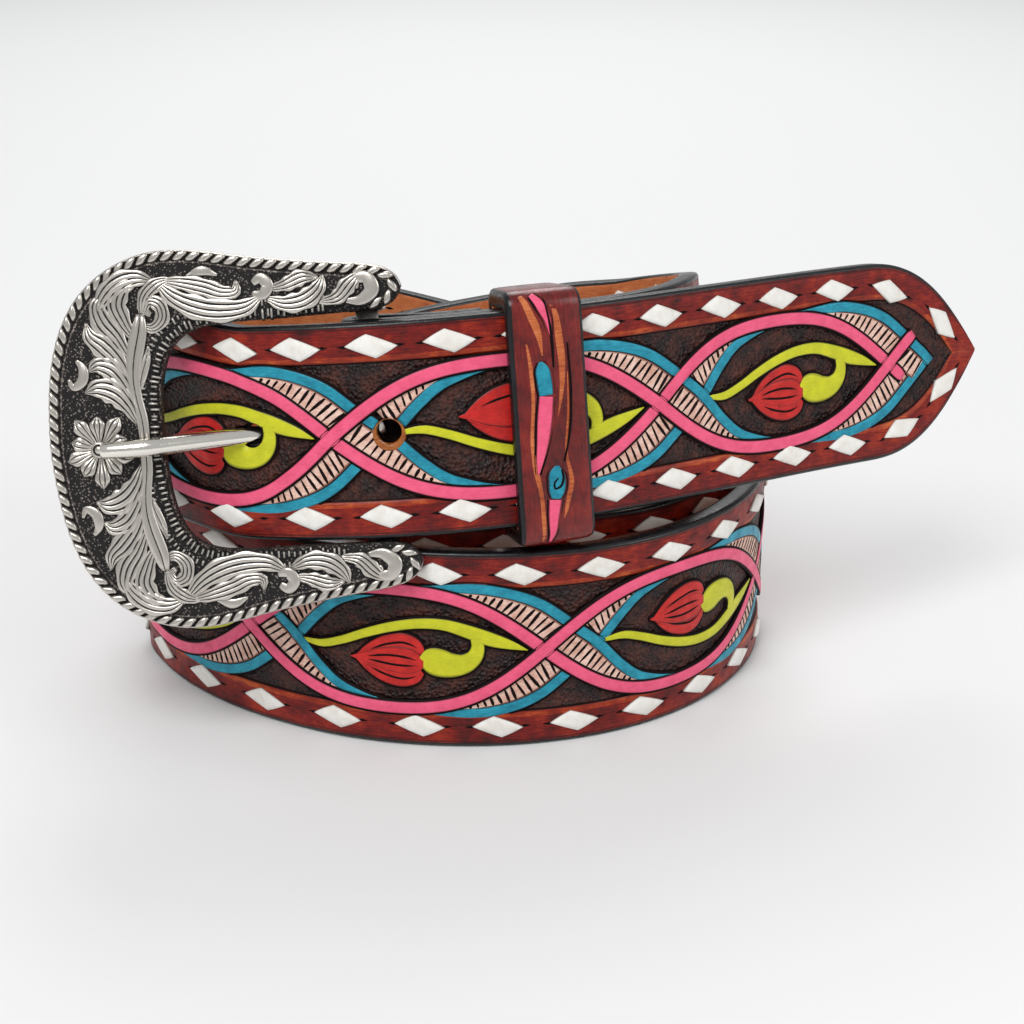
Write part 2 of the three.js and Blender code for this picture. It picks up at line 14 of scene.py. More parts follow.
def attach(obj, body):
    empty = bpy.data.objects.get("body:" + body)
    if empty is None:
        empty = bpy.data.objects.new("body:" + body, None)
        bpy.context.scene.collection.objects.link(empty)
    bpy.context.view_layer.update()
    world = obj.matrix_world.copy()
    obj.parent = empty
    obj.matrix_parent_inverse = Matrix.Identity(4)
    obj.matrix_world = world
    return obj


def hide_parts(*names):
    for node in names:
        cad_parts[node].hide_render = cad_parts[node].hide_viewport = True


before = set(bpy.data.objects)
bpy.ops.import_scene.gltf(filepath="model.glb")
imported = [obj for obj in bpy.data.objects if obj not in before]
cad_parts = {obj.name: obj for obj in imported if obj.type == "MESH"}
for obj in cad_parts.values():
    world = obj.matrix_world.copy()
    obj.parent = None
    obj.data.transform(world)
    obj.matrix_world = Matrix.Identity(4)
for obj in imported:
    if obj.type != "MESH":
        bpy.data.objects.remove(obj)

MM = 0.001
LOG = logging.getLogger("belt")
Colour = tuple[float, float, float]
Values = np.ndarray


class Station(NamedTuple):
    """Station of the strap's route: x and y in coil radii, lift in strap widths, lean in degrees."""

    x: float
    y: float
    lift: float
    lean: float


class Section(NamedTuple):
    """Section of the cast frame's upper half: X in frame reaches, Y in window half heights."""

    out_x: float
    out_y: float
    in_x: float
    in_y: float


class Trace(NamedTuple):
    """Row of a drawn line: place along and across, and width there."""

    along: float
    across: float
    width: float


OUTER_END = (
    Station(-0.750, -0.572, 1.02, 6.5),
    Station(-0.653, -0.633, 1.018, 7.8),
    Station(-0.500, -0.695, 1.045, 8.8),
    Station(-0.338, -0.735, 1.076, 9.8),
    Station(-0.173, -0.751, 1.1, 10.5),
    Station(-0.008, -0.743, 1.117, 11),
    Station(0.156, -0.712, 1.127, 11.3),
    Station(0.313, -0.660, 1.128, 11.3),
    Station(0.538, -0.550, 1.121, 11.2),
    Station(0.680, -0.463, 1.112, 11.1),
    Station(0.890, -0.327, 1.095, 11.1),
    Station(1.172, -0.148, 1.072, 11.1),
    Station(1.457, 0.023, 1.046, 11.2),
    Station(1.707, 0.167, 1.022, 11.2),
)
COIL = (
    Station(0.683, -0.325, 1.075, 8),
    Station(0.770, -0.092, 1.02, 4),
    Station(0.770, 0.192, 0.9, 2),
    Station(0.658, 0.450, 0.77, 1),
    Station(0.433, 0.583, 0.69, 0),
    Station(0.133, 0.637, 0.6, 0),
    Station(-0.200, 0.605, 0.51, 0),
    Station(-0.517, 0.483, 0.4, 0),
    Station(-0.767, 0.250, 0.26, 0),
    Station(-0.875, -0.033, 0.11, 0),
    Station(-0.800, -0.300, 0.02, 0),
    Station(-0.583, -0.483, 0, 0),
    Station(-0.267, -0.572, 0, 0),
    Station(0.067, -0.567, 0, 0),
    Station(0.367, -0.500, 0, 0),
    Station(0.610, -0.408, 0, 0),
    Station(0.827, -0.192, 0, 0),
    Station(0.910, 0.067, 0, 0),
    Station(0.858, 0.325, 0, 0),
    Station(0.683, 0.542, 0, 0),
    Station(0.400, 0.677, 0, 0),
    Station(0.067, 0.720, 0, 0),
    Station(-0.300, 0.680, 0, 0),
    Station(-0.617, 0.550, 0, 0),
    Station(-0.858, 0.350, 0, 0),
    Station(-1.008, 0.125, 0, 0),
    Station(-1.047, -0.083, 0, 0),
    Station(-0.965, -0.263, 0, 0),
    Station(-0.808, -0.453, 0.0015, 0.5),
    Station(-0.530, -0.650, 0.0042, 1.5),
    Station(-0.275, -0.748, 0.007, 3),
    Station(-0.028, -0.790, 0.006, 2.5),
    Station(0.217, -0.783, 0.0042, 1.5),
    Station(0.527, -0.687, 0.0015, 0.5),
    Station(0.723, -0.553, 0, 0),
    Station(0.875, -0.375, 0, 0),
    Station(0.973, -0.175, 0, 0),
    Station(1.010, 0.050, 0, 0),
    Station(0.963, 0.292, 0.03, 0),
    Station(0.808, 0.530, 0.1, 0),
    Station(0.550, 0.713, 0.2, 0),
    Station(0.233, 0.810, 0.33, 0),
    Station(-0.100, 0.827, 0.47, 0),
    Station(-0.433, 0.767, 0.62, 0),
    Station(-0.733, 0.617, 0.77, 0.5),
    Station(-0.958, 0.400, 0.93, 1.5),
    Station(-1.083, 0.117, 1.022, 2.5),
    Station(-1.058, -0.158, 1.024, 4),
    Station(-0.933, -0.392, 1.022, 5.5),
)
FRAME_SECTIONS = (
    Section(-1.000, 0.000, -0.431, 0.000),
    Section(-0.992, 0.270, -0.428, 0.176),
    Section(-0.975, 0.539, -0.422, 0.343),
    Section(-0.938, 0.833, -0.411, 0.500),
    Section(-0.878, 1.093, -0.391, 0.647),
    Section(-0.796, 1.304, -0.360, 0.775),
    Section(-0.688, 1.471, -0.317, 0.868),
    Section(-0.561, 1.588, -0.263, 0.931),
    Section(-0.425, 1.652, -0.198, 0.971),
    Section(-0.269, 1.657, -0.113, 0.990),
    Section(-0.113, 1.618, 0.000, 1.000),
    Section(0.042, 1.564, 0.113, 1.000),
    Section(0.198, 1.520, 0.241, 1.000),
    Section(0.354, 1.480, 0.368, 1.005),
    Section(0.510, 1.446, 0.510, 1.010),
    Section(0.652, 1.412, 0.623, 1.015),
    Section(0.742, 1.363, 0.708, 1.029),
    Section(0.793, 1.284, 0.765, 1.074),
    Section(0.810, 1.206, 0.796, 1.137),
)


def smooth(t: Values | float) -> Values | float:
    """Smooth step from 0 to 1, flat at both ends."""
    c = np.clip(t, 0.0, 1.0)
    return c * c * (3 - 2 * c)


def curve_through(rows: Values, count: int) -> Values:
    """Smooth curve through rows of values, evenly spaced by the first two columns.

    Args:
        rows: Rows of values, the first two of them a place.
        count: Number of rows in the result.

    Returns:
        Rows of the smooth curve.
    """
    rows = np.asarray(rows, float)
    gaps = np.hypot(*(rows[1:, :2] - rows[:-1, :2]).T)
    run = np.concatenate([[0], np.cumsum(gaps)])
    slope = np.gradient(rows, run, axis=0)
    at = np.linspace(0, run[-1], count)
    i = np.clip(np.searchsorted(run, at, side="right") - 1, 0, len(run) - 2)
    h = (run[i + 1] - run[i])[:, None]
    t = ((at - run[i]) / (run[i + 1] - run[i]))[:, None]
    return (
        (2 * t**3 - 3 * t**2 + 1) * rows[i]
        + (t**3 - 2 * t**2 + t) * h * slope[i]
        + (3 * t**2 - 2 * t**3) * rows[i + 1]
        + (t**3 - t**2) * h * slope[i + 1]
    )


# The strap's route


@dataclass
class Route:
    """Smooth route through stations, read by distance along it, in millimetres."""

    rows: Sequence[tuple[float, float, float, float]]
    steps: int = 16
    points: Values = field(init=False)
    run: Values = field(init=False)

    def __post_init__(self) -> None:
        """Works out the points and their distances. Height and lean never overshoot."""
        data = np.array(self.rows, float)
        spans = np.linalg.norm(np.diff(data[:, :3], axis=0), axis=1)
        rise = np.diff(data, axis=0) / spans[:, None]
        slope = np.empty_like(data)
        slope[0], slope[-1] = rise[0], rise[-1]
        before, after = rise[:-1], rise[1:]
        near, far = spans[:-1, None], spans[1:, None]
        slope[1:-1] = (after * near + before * far) / (near + far)
        flat = before * after <= 0
        flat[:, :2] = False
        slope[1:-1][flat] = 0
        t = (np.arange(self.steps) / self.steps)[None, :, None]
        h = spans[:, None, None]
        body = (
            (2 * t**3 - 3 * t**2 + 1) * data[:-1, None]
            + (t**3 - 2 * t**2 + t) * h * slope[:-1, None]
            + (3 * t**2 - 2 * t**3) * data[1:, None]
            + (t**3 - t**2) * h * slope[1:, None]
        )
        self.points = np.concatenate([body.reshape(-1, 4), data[-1:]])
        steps = np.linalg.norm(np.diff(self.points[:, :3], axis=0), axis=1)
        self.run = np.concatenate([[0], np.cumsum(steps)])

    @property
    def length(self) -> float:
        """Length of the whole route."""
        return float(self.run[-1])

    def read(self, s: Values) -> Values:
        """Place and lean at distances s, carried on straight past either end."""
        s = np.atleast_1d(np.asarray(s, float))
        i = np.clip(np.searchsorted(self.run, s, side="left"), 1, len(self.run) - 1)
        t = ((s - self.run[i - 1]) / (self.run[i] - self.run[i - 1]))[:, None]
        return self.points[i - 1] + t * (self.points[i] - self.points[i - 1])

    def frames(self, s: Values, reach: float = 1.5) -> tuple[Values, Values, Values, Values]:
        """Points on the grain face with their directions.

        Args:
            s: Distances along the route.
            reach: Distance to either side over which the direction is taken.

        Returns:
            Place, along, across (up the width) and out, a row each for every distance.
        """
        here = self.read(s)
        along = self.read(np.asarray(s) + reach)[:, :3] - self.read(np.asarray(s) - reach)[:, :3]
        along /= np.linalg.norm(along, axis=1)[:, None]
        upright = np.array([[0, 0, 1.0]]) - along * along[:, 2:3]
        upright /= np.linalg.norm(upright, axis=1)[:, None]
        level = np.cross(along, upright)
        lean = np.radians(here[:, 3:4])
        across = upright * np.cos(lean) - level * np.sin(lean)
        out = np.cross(along, across)
        return here[:, :3], along, across, out / np.linalg.norm(out, axis=1)[:, None]


@dataclass
class Strap:
    """Sizes of the strap and the space along it: distance s, height v above its middle, depth w."""

    coil_radius: float = 60.0
    centre: tuple[float, float, float] = (-15.74, 0.964, 0.0)
    width: float = 38.0
    thickness: float = 3.6
    fold_thickness: float = 2.4
    skive: float = 13.0
    ply_gap: float = 0.45
    tip_length: float = 27.5
    tip_power: float = 2.5
    turnback: float = 21.4
    hole_width: float = 4.6
    hole_spacing: float = 25.4
    first_hole: float = 102.4
    hole_count: int = 5
    keeper_from_tip: float = 100.0
    keeper_width: float = 13.4
    ply_beyond: float = 11.0
    bar_from_hole: float = 22.0
    bar_radius: float = 2.0
    bar_clearance: float = 0.3
    grid: float = 0.5
    route: Route = field(init=False)

    def __post_init__(self) -> None:
        """Lays the route and keeps its directions at close, even distances."""
        ends = Route([self.station(r) for r in OUTER_END])
        self.hole_run_outer = ends.length - self.first_hole - 2 * self.hole_spacing
        bar_run = self.hole_run_outer + self.bar_from_hole
        keeper_run = ends.length - self.keeper_from_tip
        stop = keeper_run + self.keeper_width / 2 + self.ply_beyond
        s = np.linspace(bar_run, stop, 7)
        at, _, _, out = ends.frames(s)
        inner = at - out * (self.thickness + self.ply_gap)
        plies = [(*p, lean) for p, lean in zip(inner, ends.read(s)[:, 3])]
        rows = plies + [self.station(r) for r in COIL] + [self.station(r) for r in OUTER_END]
        self.route = Route(rows)
        self.length = self.route.length
        self.marks = np.arange(0, self.length + self.grid, self.grid)
        at, along, across, out = self.route.frames(self.marks)
        self.table = np.hstack([at + np.array(self.centre), along, across, out])

    @property
    def half(self) -> float:
        """Half the strap's width."""
        return self.width / 2

    def station(self, r: Station) -> tuple[float, float, float, float]:
        """Station in millimetres, at the middle of the strap's width."""
        rise = r.lift * self.width + self.half * math.cos(math.radians(r.lean))
        return r.x * self.coil_radius, r.y * self.coil_radius, rise, r.lean

    def frames(self, s: Values) -> tuple[Values, Values, Values, Values]:
        """Place, along, across and out at distances s, read from the kept table."""
        s = np.asarray(s, float)
        cols = np.stack([np.interp(s, self.marks, self.table[:, k]) for k in range(12)], 1)
        return cols[:, :3], cols[:, 3:6], cols[:, 6:9], cols[:, 9:]

    def place(self, svw: Values) -> Values:
        """Points of the strap's space (s, v, w) as points of the part, in millimetres."""
        svw = np.asarray(svw, float)
        at, _, across, out = self.frames(svw[:, 0])
        return at + across * svw[:, 1:2] + out * svw[:, 2:3]

    def from_tip(self, distance: Values | float) -> Values | float:
        """Distance along the route of a place given by its distance from the tip."""
        return self.length - np.asarray(distance)

    def half_width(self, s: Values) -> Values:
        """Half the strap's width at distances s, narrowing to the pointed tip."""
        t = np.clip((s - (self.length - self.tip_length)) / self.tip_length, 0, 1)
        return self.half * (1 - t**self.tip_power)

    def hole_runs(self) -> list[float]:
        """Distances of the belt holes along the route."""
        return [
            float(self.from_tip(self.first_hole + i * self.hole_spacing))
            for i in range(self.hole_count)
        ]


# Meshes


class Draft:
    """Mesh in the making, in millimetres: points, faces, a finish for each face, relief and map."""

    def __init__(self) -> None:
        """Starts with nothing in it."""
        self.points: list[Values] = []
        self.relief: list[Values] = []
        self.chart: list[Values] = []
        self.faces: list[tuple[int, ...]] = []
        self.finish: list[int] = []
        self.count = 0

    def add(
        self,
        points: Values,
        faces: Sequence[Sequence[int]],
        finish: int | Sequence[int] = 0,
        relief: Values | None = None,
        chart: Values | None = None,
    ) -> None:
        """Adds points and faces.

        Args:
            points: Rows of x, y, z, or of s, v, w where the draft is mapped later.
            faces: Point numbers of each face, counted within this call.
            finish: Number of the finish, for all faces or for each.
            relief: Height of each point, from 0 in a groove to 1 on a crest.
            chart: Map coordinates of each point, in millimetres.
        """
        n = len(points)
        self.points.append(np.asarray(points, float))
        self.relief.append(np.ones(n) if relief is None else np.asarray(relief, float))
        self.chart.append(np.asarray(points, float)[:, :2] if chart is None else np.asarray(chart, float))
        self.faces.extend(tuple(i + self.count for i in f) for f in faces)
        self.finish.extend([finish] * len(faces) if isinstance(finish, int) else finish)
        self.count += n

    def grid(
        self,
        rows: Values,
        finish: Sequence[int] | int = 0,
        relief: Values | None = None,
        chart: Values | None = None,
        caps: bool = True,
        ring: bool = False,
    ) -> None:
        """Adds a tube of sections: rows has a section in each row, closed round each section.

        Args:
            rows: Array of sections by points by three.
            finish: Finish of each strip between neighbouring points, or of all.
            relief: Height of each point, sections by points.
            chart: Map coordinates, sections by points by two.
            caps: Whether both ends are closed.
            ring: Whether the last section joins the first.
        """
        n, m = rows.shape[:2]
        strips = [finish] * m if isinstance(finish, int) else list(finish)
        faces, kinds = [], []
        for i in range(n if ring else n - 1):
            a, b = i * m, ((i + 1) % n) * m
            for j in range(m):
                k = (j + 1) % m
                faces.append((a + j, b + j, b + k, a + k))
                kinds.append(strips[j])
        if caps and not ring:
            faces.append(tuple(range(m)))
            faces.append(tuple(range((n - 1) * m, n * m))[::-1])
            kinds += [strips[0], strips[0]]
        self.add(
            rows.reshape(-1, 3),
            faces,
            kinds,
            None if relief is None else relief.reshape(-1),
            None if chart is None else chart.reshape(-1, 2),
        )

    def build(
        self,
        name: str,
        finishes: Sequence[bpy.types.Material],
        mapping: Callable[[Values], Values] | None = None,
        soft: bool = True,
        outward: bool = True,
    ) -> bpy.types.Object:
        """Makes the object, at the origin and in metres.

        Args:
            name: Name of the piece.
            finishes: Materials, in the order of the finish numbers.
            mapping: Turns the draft's points into points of the part.
            soft: Whether faces are shaded smooth.
            outward: Whether face directions are worked out again.

        Returns:
            The object.
        """
        points = np.concatenate(self.points)
        placed = (mapping(points) if mapping else points) * MM
        mesh = bpy.data.meshes.new(name)
        mesh.from_pydata(placed.tolist(), [], self.faces)
        for m in finishes:
            mesh.materials.append(m)
        mesh.polygons.foreach_set("material_index", self.finish)
        mesh.polygons.foreach_set("use_smooth", [soft] * len(self.faces))
        lift = mesh.attributes.new("relief", "FLOAT", "POINT")
        lift.data.foreach_set("value", np.concatenate(self.relief).astype(np.float32))
        chart = np.concatenate(self.chart) / 10.0
        loops = np.empty(len(mesh.loops), np.int32)
        mesh.loops.foreach_get("vertex_index", loops)
        layer = mesh.uv_layers.new(name="chart")
        layer.data.foreach_set("uv", chart[loops].astype(np.float32).ravel())
        mesh.validate()
        if outward:
            face_outward(mesh)
        thing = bpy.data.objects.new(name, mesh)
        bpy.context.scene.collection.objects.link(thing)
        return thing


def face_outward(mesh: bpy.types.Mesh) -> None:
    """Turns every face of a mesh of closed shells to point outwards."""

    bm = bmesh.new()
    bm.from_mesh(mesh)
    bmesh.ops.recalc_face_normals(bm, faces=bm.faces)
    bm.to_mesh(mesh)
    bm.free()


def deliver(piece: bpy.types.Object, slot: str, *nodes: str) -> bpy.types.Object:
    """Hands a finished piece to the frame: it rides on the part and hides the CAD nodes it stands for.

    Args:
        piece: The finished object.
        slot: Material slot of the record; not used.
        nodes: CAD nodes that the piece stands for.

    Returns:
        The same object.
    """
    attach(piece, "root")
    if nodes:
        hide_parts(*nodes)
    LOG.info("%s: %d faces", piece.name, len(piece.data.polygons))
    return piece


# Finishes


class Wiring:
    """Short-hand for the nodes of one material."""

    def __init__(self, name: str) -> None:
        """Makes an empty material with its shader and output."""
        self.material = bpy.data.materials.new(name)
        self.material.use_nodes = True
        self.tree = self.material.node_tree
        self.shader = self.tree.nodes["Principled BSDF"]

    def node(self, kind: str, **settings: object) -> bpy.types.Node:
        """Adds a node and sets its properties."""
        made = self.tree.nodes.new(kind)
        for key, value in settings.items():
            setattr(made, key, value)
        return made

    def link(self, a: bpy.types.NodeSocket, b: bpy.types.NodeSocket) -> None:
        """Joins two sockets."""
        self.tree.links.new(a, b)

    def place(self, scale: tuple[float, float, float], chart: bool = False) -> bpy.types.NodeSocket:
        """Coordinates of the object, or of its own chart, stretched by a scale."""
        if chart:
            source = self.node("ShaderNodeUVMap", uv_map="chart").outputs[0]
        else:
            source = self.node("ShaderNodeTexCoord").outputs["Object"]
        stretch = self.node("ShaderNodeMapping")
        stretch.inputs["Scale"].default_value = scale
        self.link(source, stretch.inputs["Vector"])
        return stretch.outputs["Vector"]

    def noise(self, place: bpy.types.NodeSocket, scale: float, detail: float = 6,
            rough: float = 0.6) -> bpy.types.NodeSocket:
        """Cloudy pattern."""
        made = self.node("ShaderNodeTexNoise")
        made.inputs["Scale"].default_value = scale
        made.inputs["Detail"].default_value = detail
        made.inputs["Roughness"].default_value = rough
        self.link(place, made.inputs["Vector"])
        return made.outputs["Fac"]

    def cells(self, place: bpy.types.NodeSocket, scale: float) -> bpy.types.NodeSocket:
        """Distance to the nearest of scattered points."""
        made = self.node("ShaderNodeTexVoronoi")
        made.inputs["Scale"].default_value = scale
        self.link(place, made.inputs["Vector"])
        return made.outputs["Distance"]

    def relief(self) -> bpy.types.NodeSocket:
        """The piece's own relief, 0 in a groove and 1 on a crest."""
        return self.node("ShaderNodeAttribute", attribute_name="relief").outputs["Fac"]

    def ramp(self, value: bpy.types.NodeSocket,
            stops: Sequence[tuple[float, Colour]]) -> bpy.types.NodeSocket:
        """Colour by value, through named stops."""
        made = self.node("ShaderNodeValToRGB")
        bar = made.color_ramp
        while len(bar.elements) < len(stops):
            bar.elements.new(0.5)
        for stop, (at, colour) in zip(bar.elements, stops):
            stop.position = at
            stop.color = (*colour, 1)
        self.link(value, made.inputs["Fac"])
        return made.outputs["Color"]

    def mix(self, amount: bpy.types.NodeSocket, a: bpy.types.NodeSocket | Colour,
            b: bpy.types.NodeSocket | Colour) -> bpy.types.NodeSocket:
        """Mixes two colours by an amount."""
        made = self.node("ShaderNodeMix", data_type="RGBA")
        self.link(amount, made.inputs[0])
        for socket, value in ((made.inputs[6], a), (made.inputs[7], b)):
            if isinstance(value, tuple):
                socket.default_value = (*value, 1)
            else:
                self.link(value, socket)
        return made.outputs[2]

    def maths(self, what: str, a: bpy.types.NodeSocket,
            b: bpy.types.NodeSocket | float) -> bpy.types.NodeSocket:
        """Sum, product or other sum of two values."""
        made = self.node("ShaderNodeMath", operation=what)
        self.link(a, made.inputs[0])
        if isinstance(b, (int, float)):
            made.inputs[1].default_value = b
        else:
            self.link(b, made.inputs[1])
        return made.outputs[0]

    def span(self, value: bpy.types.NodeSocket, low: float, high: float,
            to: tuple[float, float] = (0, 1)) -> bpy.types.NodeSocket:
        """Value carried from one range to another and held inside it."""
        made = self.node("ShaderNodeMapRange")
        made.inputs["From Min"].default_value = low
        made.inputs["From Max"].default_value = high
        made.inputs["To Min"].default_value = to[0]
        made.inputs["To Max"].default_value = to[1]
        self.link(value, made.inputs["Value"])
        return made.outputs["Result"]

    def bump(self, height: bpy.types.NodeSocket, strength: float, depth: float) -> None:
        """Fine relief from a height pattern."""
        made = self.node("ShaderNodeBump")
        made.inputs["Strength"].default_value = strength
        made.inputs["Distance"].default_value = depth
        self.link(height, made.inputs["Height"])
        self.link(made.outputs["Normal"], self.shader.inputs["Normal"])

    def set(self, **values: float) -> None:
        """Sets plain values on the shader, by socket name with underscores."""
        for key, value in values.items():
            self.shader.inputs[key.replace("_", " ")].default_value = value


def srgb(red: int, green: int, blue: int) -> Colour:
    """Linear colour from screen values of 0 to 255."""
    out = []
    for c in (red, green, blue):
        v = c / 255
        out.append(v / 12.92 if v <= 0.04045 else ((v + 0.055) / 1.055) ** 2.4)
    return out[0], out[1], out[2]


@dataclass(frozen=True)
class DyedLeather:
    """Smooth dyed leather with grain, clouded dye and burnished highlights."""

    name: str
    deep: Colour
    body: Colour
    rubbed: Colour
    grain: float = 900.0
    roughness: float = 0.42
    coat: float = 0.1
    shine: float = 0.25

    def build(self) -> bpy.types.Material:
        """The material."""
        w = Wiring(self.name)
        cloud = w.noise(w.place((1, 1, 1)), 160, 8, 0.65)
        streak = w.noise(w.place((0.35, 4.0, 1), chart=True), 9, 7, 0.7)
        base = w.ramp(w.maths("ADD", w.maths("MULTIPLY", cloud, 0.55), w.maths("MULTIPLY", streak, 0.45)),
                      [(0.37, self.deep), (0.5, self.body), (0.68, self.rubbed)])
        base = w.mix(w.span(w.relief(), 0.0, 0.9), self.deep, base)
        w.link(base, w.shader.inputs["Base Color"])
        fine = w.cells(w.place((1, 1, 1)), self.grain)
        pores = w.noise(w.place((1, 1, 1)), self.grain * 0.6, 4, 0.6)
        rough = w.span(pores, 0.3, 0.7, (self.roughness - 0.08, self.roughness + 0.12))
        w.link(rough, w.shader.inputs["Roughness"])
        height = w.maths("ADD", w.maths("MULTIPLY", fine, 0.6), pores)
        w.bump(height, 0.35, 0.00012)
        w.set(Coat_Weight=self.coat, Coat_Roughness=0.22, Specular_IOR_Level=self.shine)
        return w.material


@dataclass(frozen=True)
class TooledGround:
    """Background pounded down with a small stamp and stained dark, with painted glints on its stamp marks.
    """

    name: str
    dark: Colour
    # Colour of the painted glints on the stamp marks.
    worn: Colour
    scale: float = 1500.0

    def build(self) -> bpy.types.Material:
        """The material."""
        w = Wiring(self.name)
        dots = w.cells(w.place((1, 1, 1)), self.scale)
        cloud = w.noise(w.place((1, 1, 1)), 260, 6, 0.7)
        crest = w.span(dots, 0.12, 0.42)
        patch = w.span(cloud, 0.42, 0.68)
        # Lighter specks in the worn colour, on the crests in patches, are painted glints.
        w.link(w.mix(w.maths("MULTIPLY", crest, patch), self.dark, self.worn), w.shader.inputs["Base Color"])
        w.link(w.span(cloud, 0.3, 0.7, (0.36, 0.68)), w.shader.inputs["Roughness"])
        w.bump(w.maths("ADD", dots, w.maths("MULTIPLY", cloud, 0.8)), 1.0, 0.0006)
        w.set(Specular_IOR_Level=0.4)
        return w.material


@dataclass(frozen=True)
class Paint:
    """Hand-brushed leather paint, a little uneven, with the leather's pores under it."""

    name: str
    body: Colour
    thin: Colour
    roughness: float = 0.4
    glitter: float = 0.0

    def build(self) -> bpy.types.Material:
        """The material."""
        w = Wiring(self.name)
        brush = w.noise(w.place((0.5, 3.0, 1), chart=True), 12, 8, 0.7)
        cloud = w.noise(w.place((1, 1, 1)), 420, 5, 0.6)
        shade = w.maths("ADD", w.maths("MULTIPLY", brush, 0.5), w.maths("MULTIPLY", cloud, 0.5))
        colour = w.mix(w.span(shade, 0.4, 0.66), self.body, self.thin)
        edge = w.span(w.relief(), 0.35, 0.85)
        colour = w.mix(edge, tuple(c * 0.45 for c in self.thin), colour)
        w.link(colour, w.shader.inputs["Base Color"])
        w.link(w.span(cloud, 0.3, 0.7, (self.roughness - 0.08, self.roughness + 0.15)),
            w.shader.inputs["Roughness"])
        grain = w.noise(w.place((1, 1, 1)), 2600, 3, 0.5)
        w.bump(w.maths("ADD", grain, w.maths("MULTIPLY", cloud, 1.4)), 0.3, 0.00012)
        w.set(Metallic=self.glitter, Specular_IOR_Level=0.3, Coat_Weight=0.08, Coat_Roughness=0.3)
        return w.material


@dataclass(frozen=True)
class CastMetal:
    """Cast metal with dark patina in its grooves and bright rubbed crests."""

    name: str
    bright: Colour
    dark: Colour
    roughness: float = 0.28
    patina: tuple[float, float] = (0.25, 0.75)
    grain: float = 0.0

    def build(self) -> bpy.types.Material:
        """The material."""
        w = Wiring(self.name)
        cloud = w.noise(w.place((1, 1, 1)), 700, 6, 0.65)
        wear = w.maths("ADD", w.relief(), w.maths("MULTIPLY", w.maths("SUBTRACT", cloud, 0.5), 0.8))
        if self.grain:
            stipple = w.span(w.cells(w.place((1, 1, 1)), 2100), 0.1, 0.5, (1, 0))
            wear = w.maths("ADD", wear, w.maths("MULTIPLY", stipple, self.grain))
        amount = w.span(wear, *self.patina)
        w.link(w.mix(amount, self.dark, self.bright), w.shader.inputs["Base Color"])
        w.link(w.span(amount, 0, 1, (0.78, self.roughness)), w.shader.inputs["Roughness"])
        w.link(w.span(amount, 0, 0.8, (0.1, 1.0)), w.shader.inputs["Metallic"])
        pits = w.noise(w.place((1, 1, 1)), 3200, 3, 0.5)
        w.bump(w.maths("ADD", pits, w.maths("MULTIPLY", cloud, 0.8)), 0.22 + self.grain * 0.5,
            0.0001 + self.grain * 0.0003)
        return w.material


@dataclass(frozen=True)
class LaceLeather:
    """Soft white lace, soiled in patches, with painted shade on its sides down to where it meets the
    leather.
    """

    name: str
    white: Colour
    soiled_and_shade: Colour

    def build(self) -> bpy.types.Material:
        """The material."""
        w = Wiring(self.name)
        cloud = w.noise(w.place((1, 1, 1)), 330, 6, 0.7)
        colour = w.mix(w.span(cloud, 0.42, 0.75), self.white, self.soiled_and_shade)
        # Darker sides, down to where the lace meets the leather, are painted shade.
        colour = w.mix(w.span(w.relief(), 0.0, 0.6), tuple(c * 0.5 for c in self.soiled_and_shade), colour)
        w.link(colour, w.shader.inputs["Base Color"])
        w.link(w.span(cloud, 0.3, 0.7, (0.45, 0.62)), w.shader.inputs["Roughness"])
        w.bump(w.noise(w.place((1, 1, 1)), 1500, 5, 0.6), 0.3, 0.00015)
        w.set(Specular_IOR_Level=0.35)
        return w.material


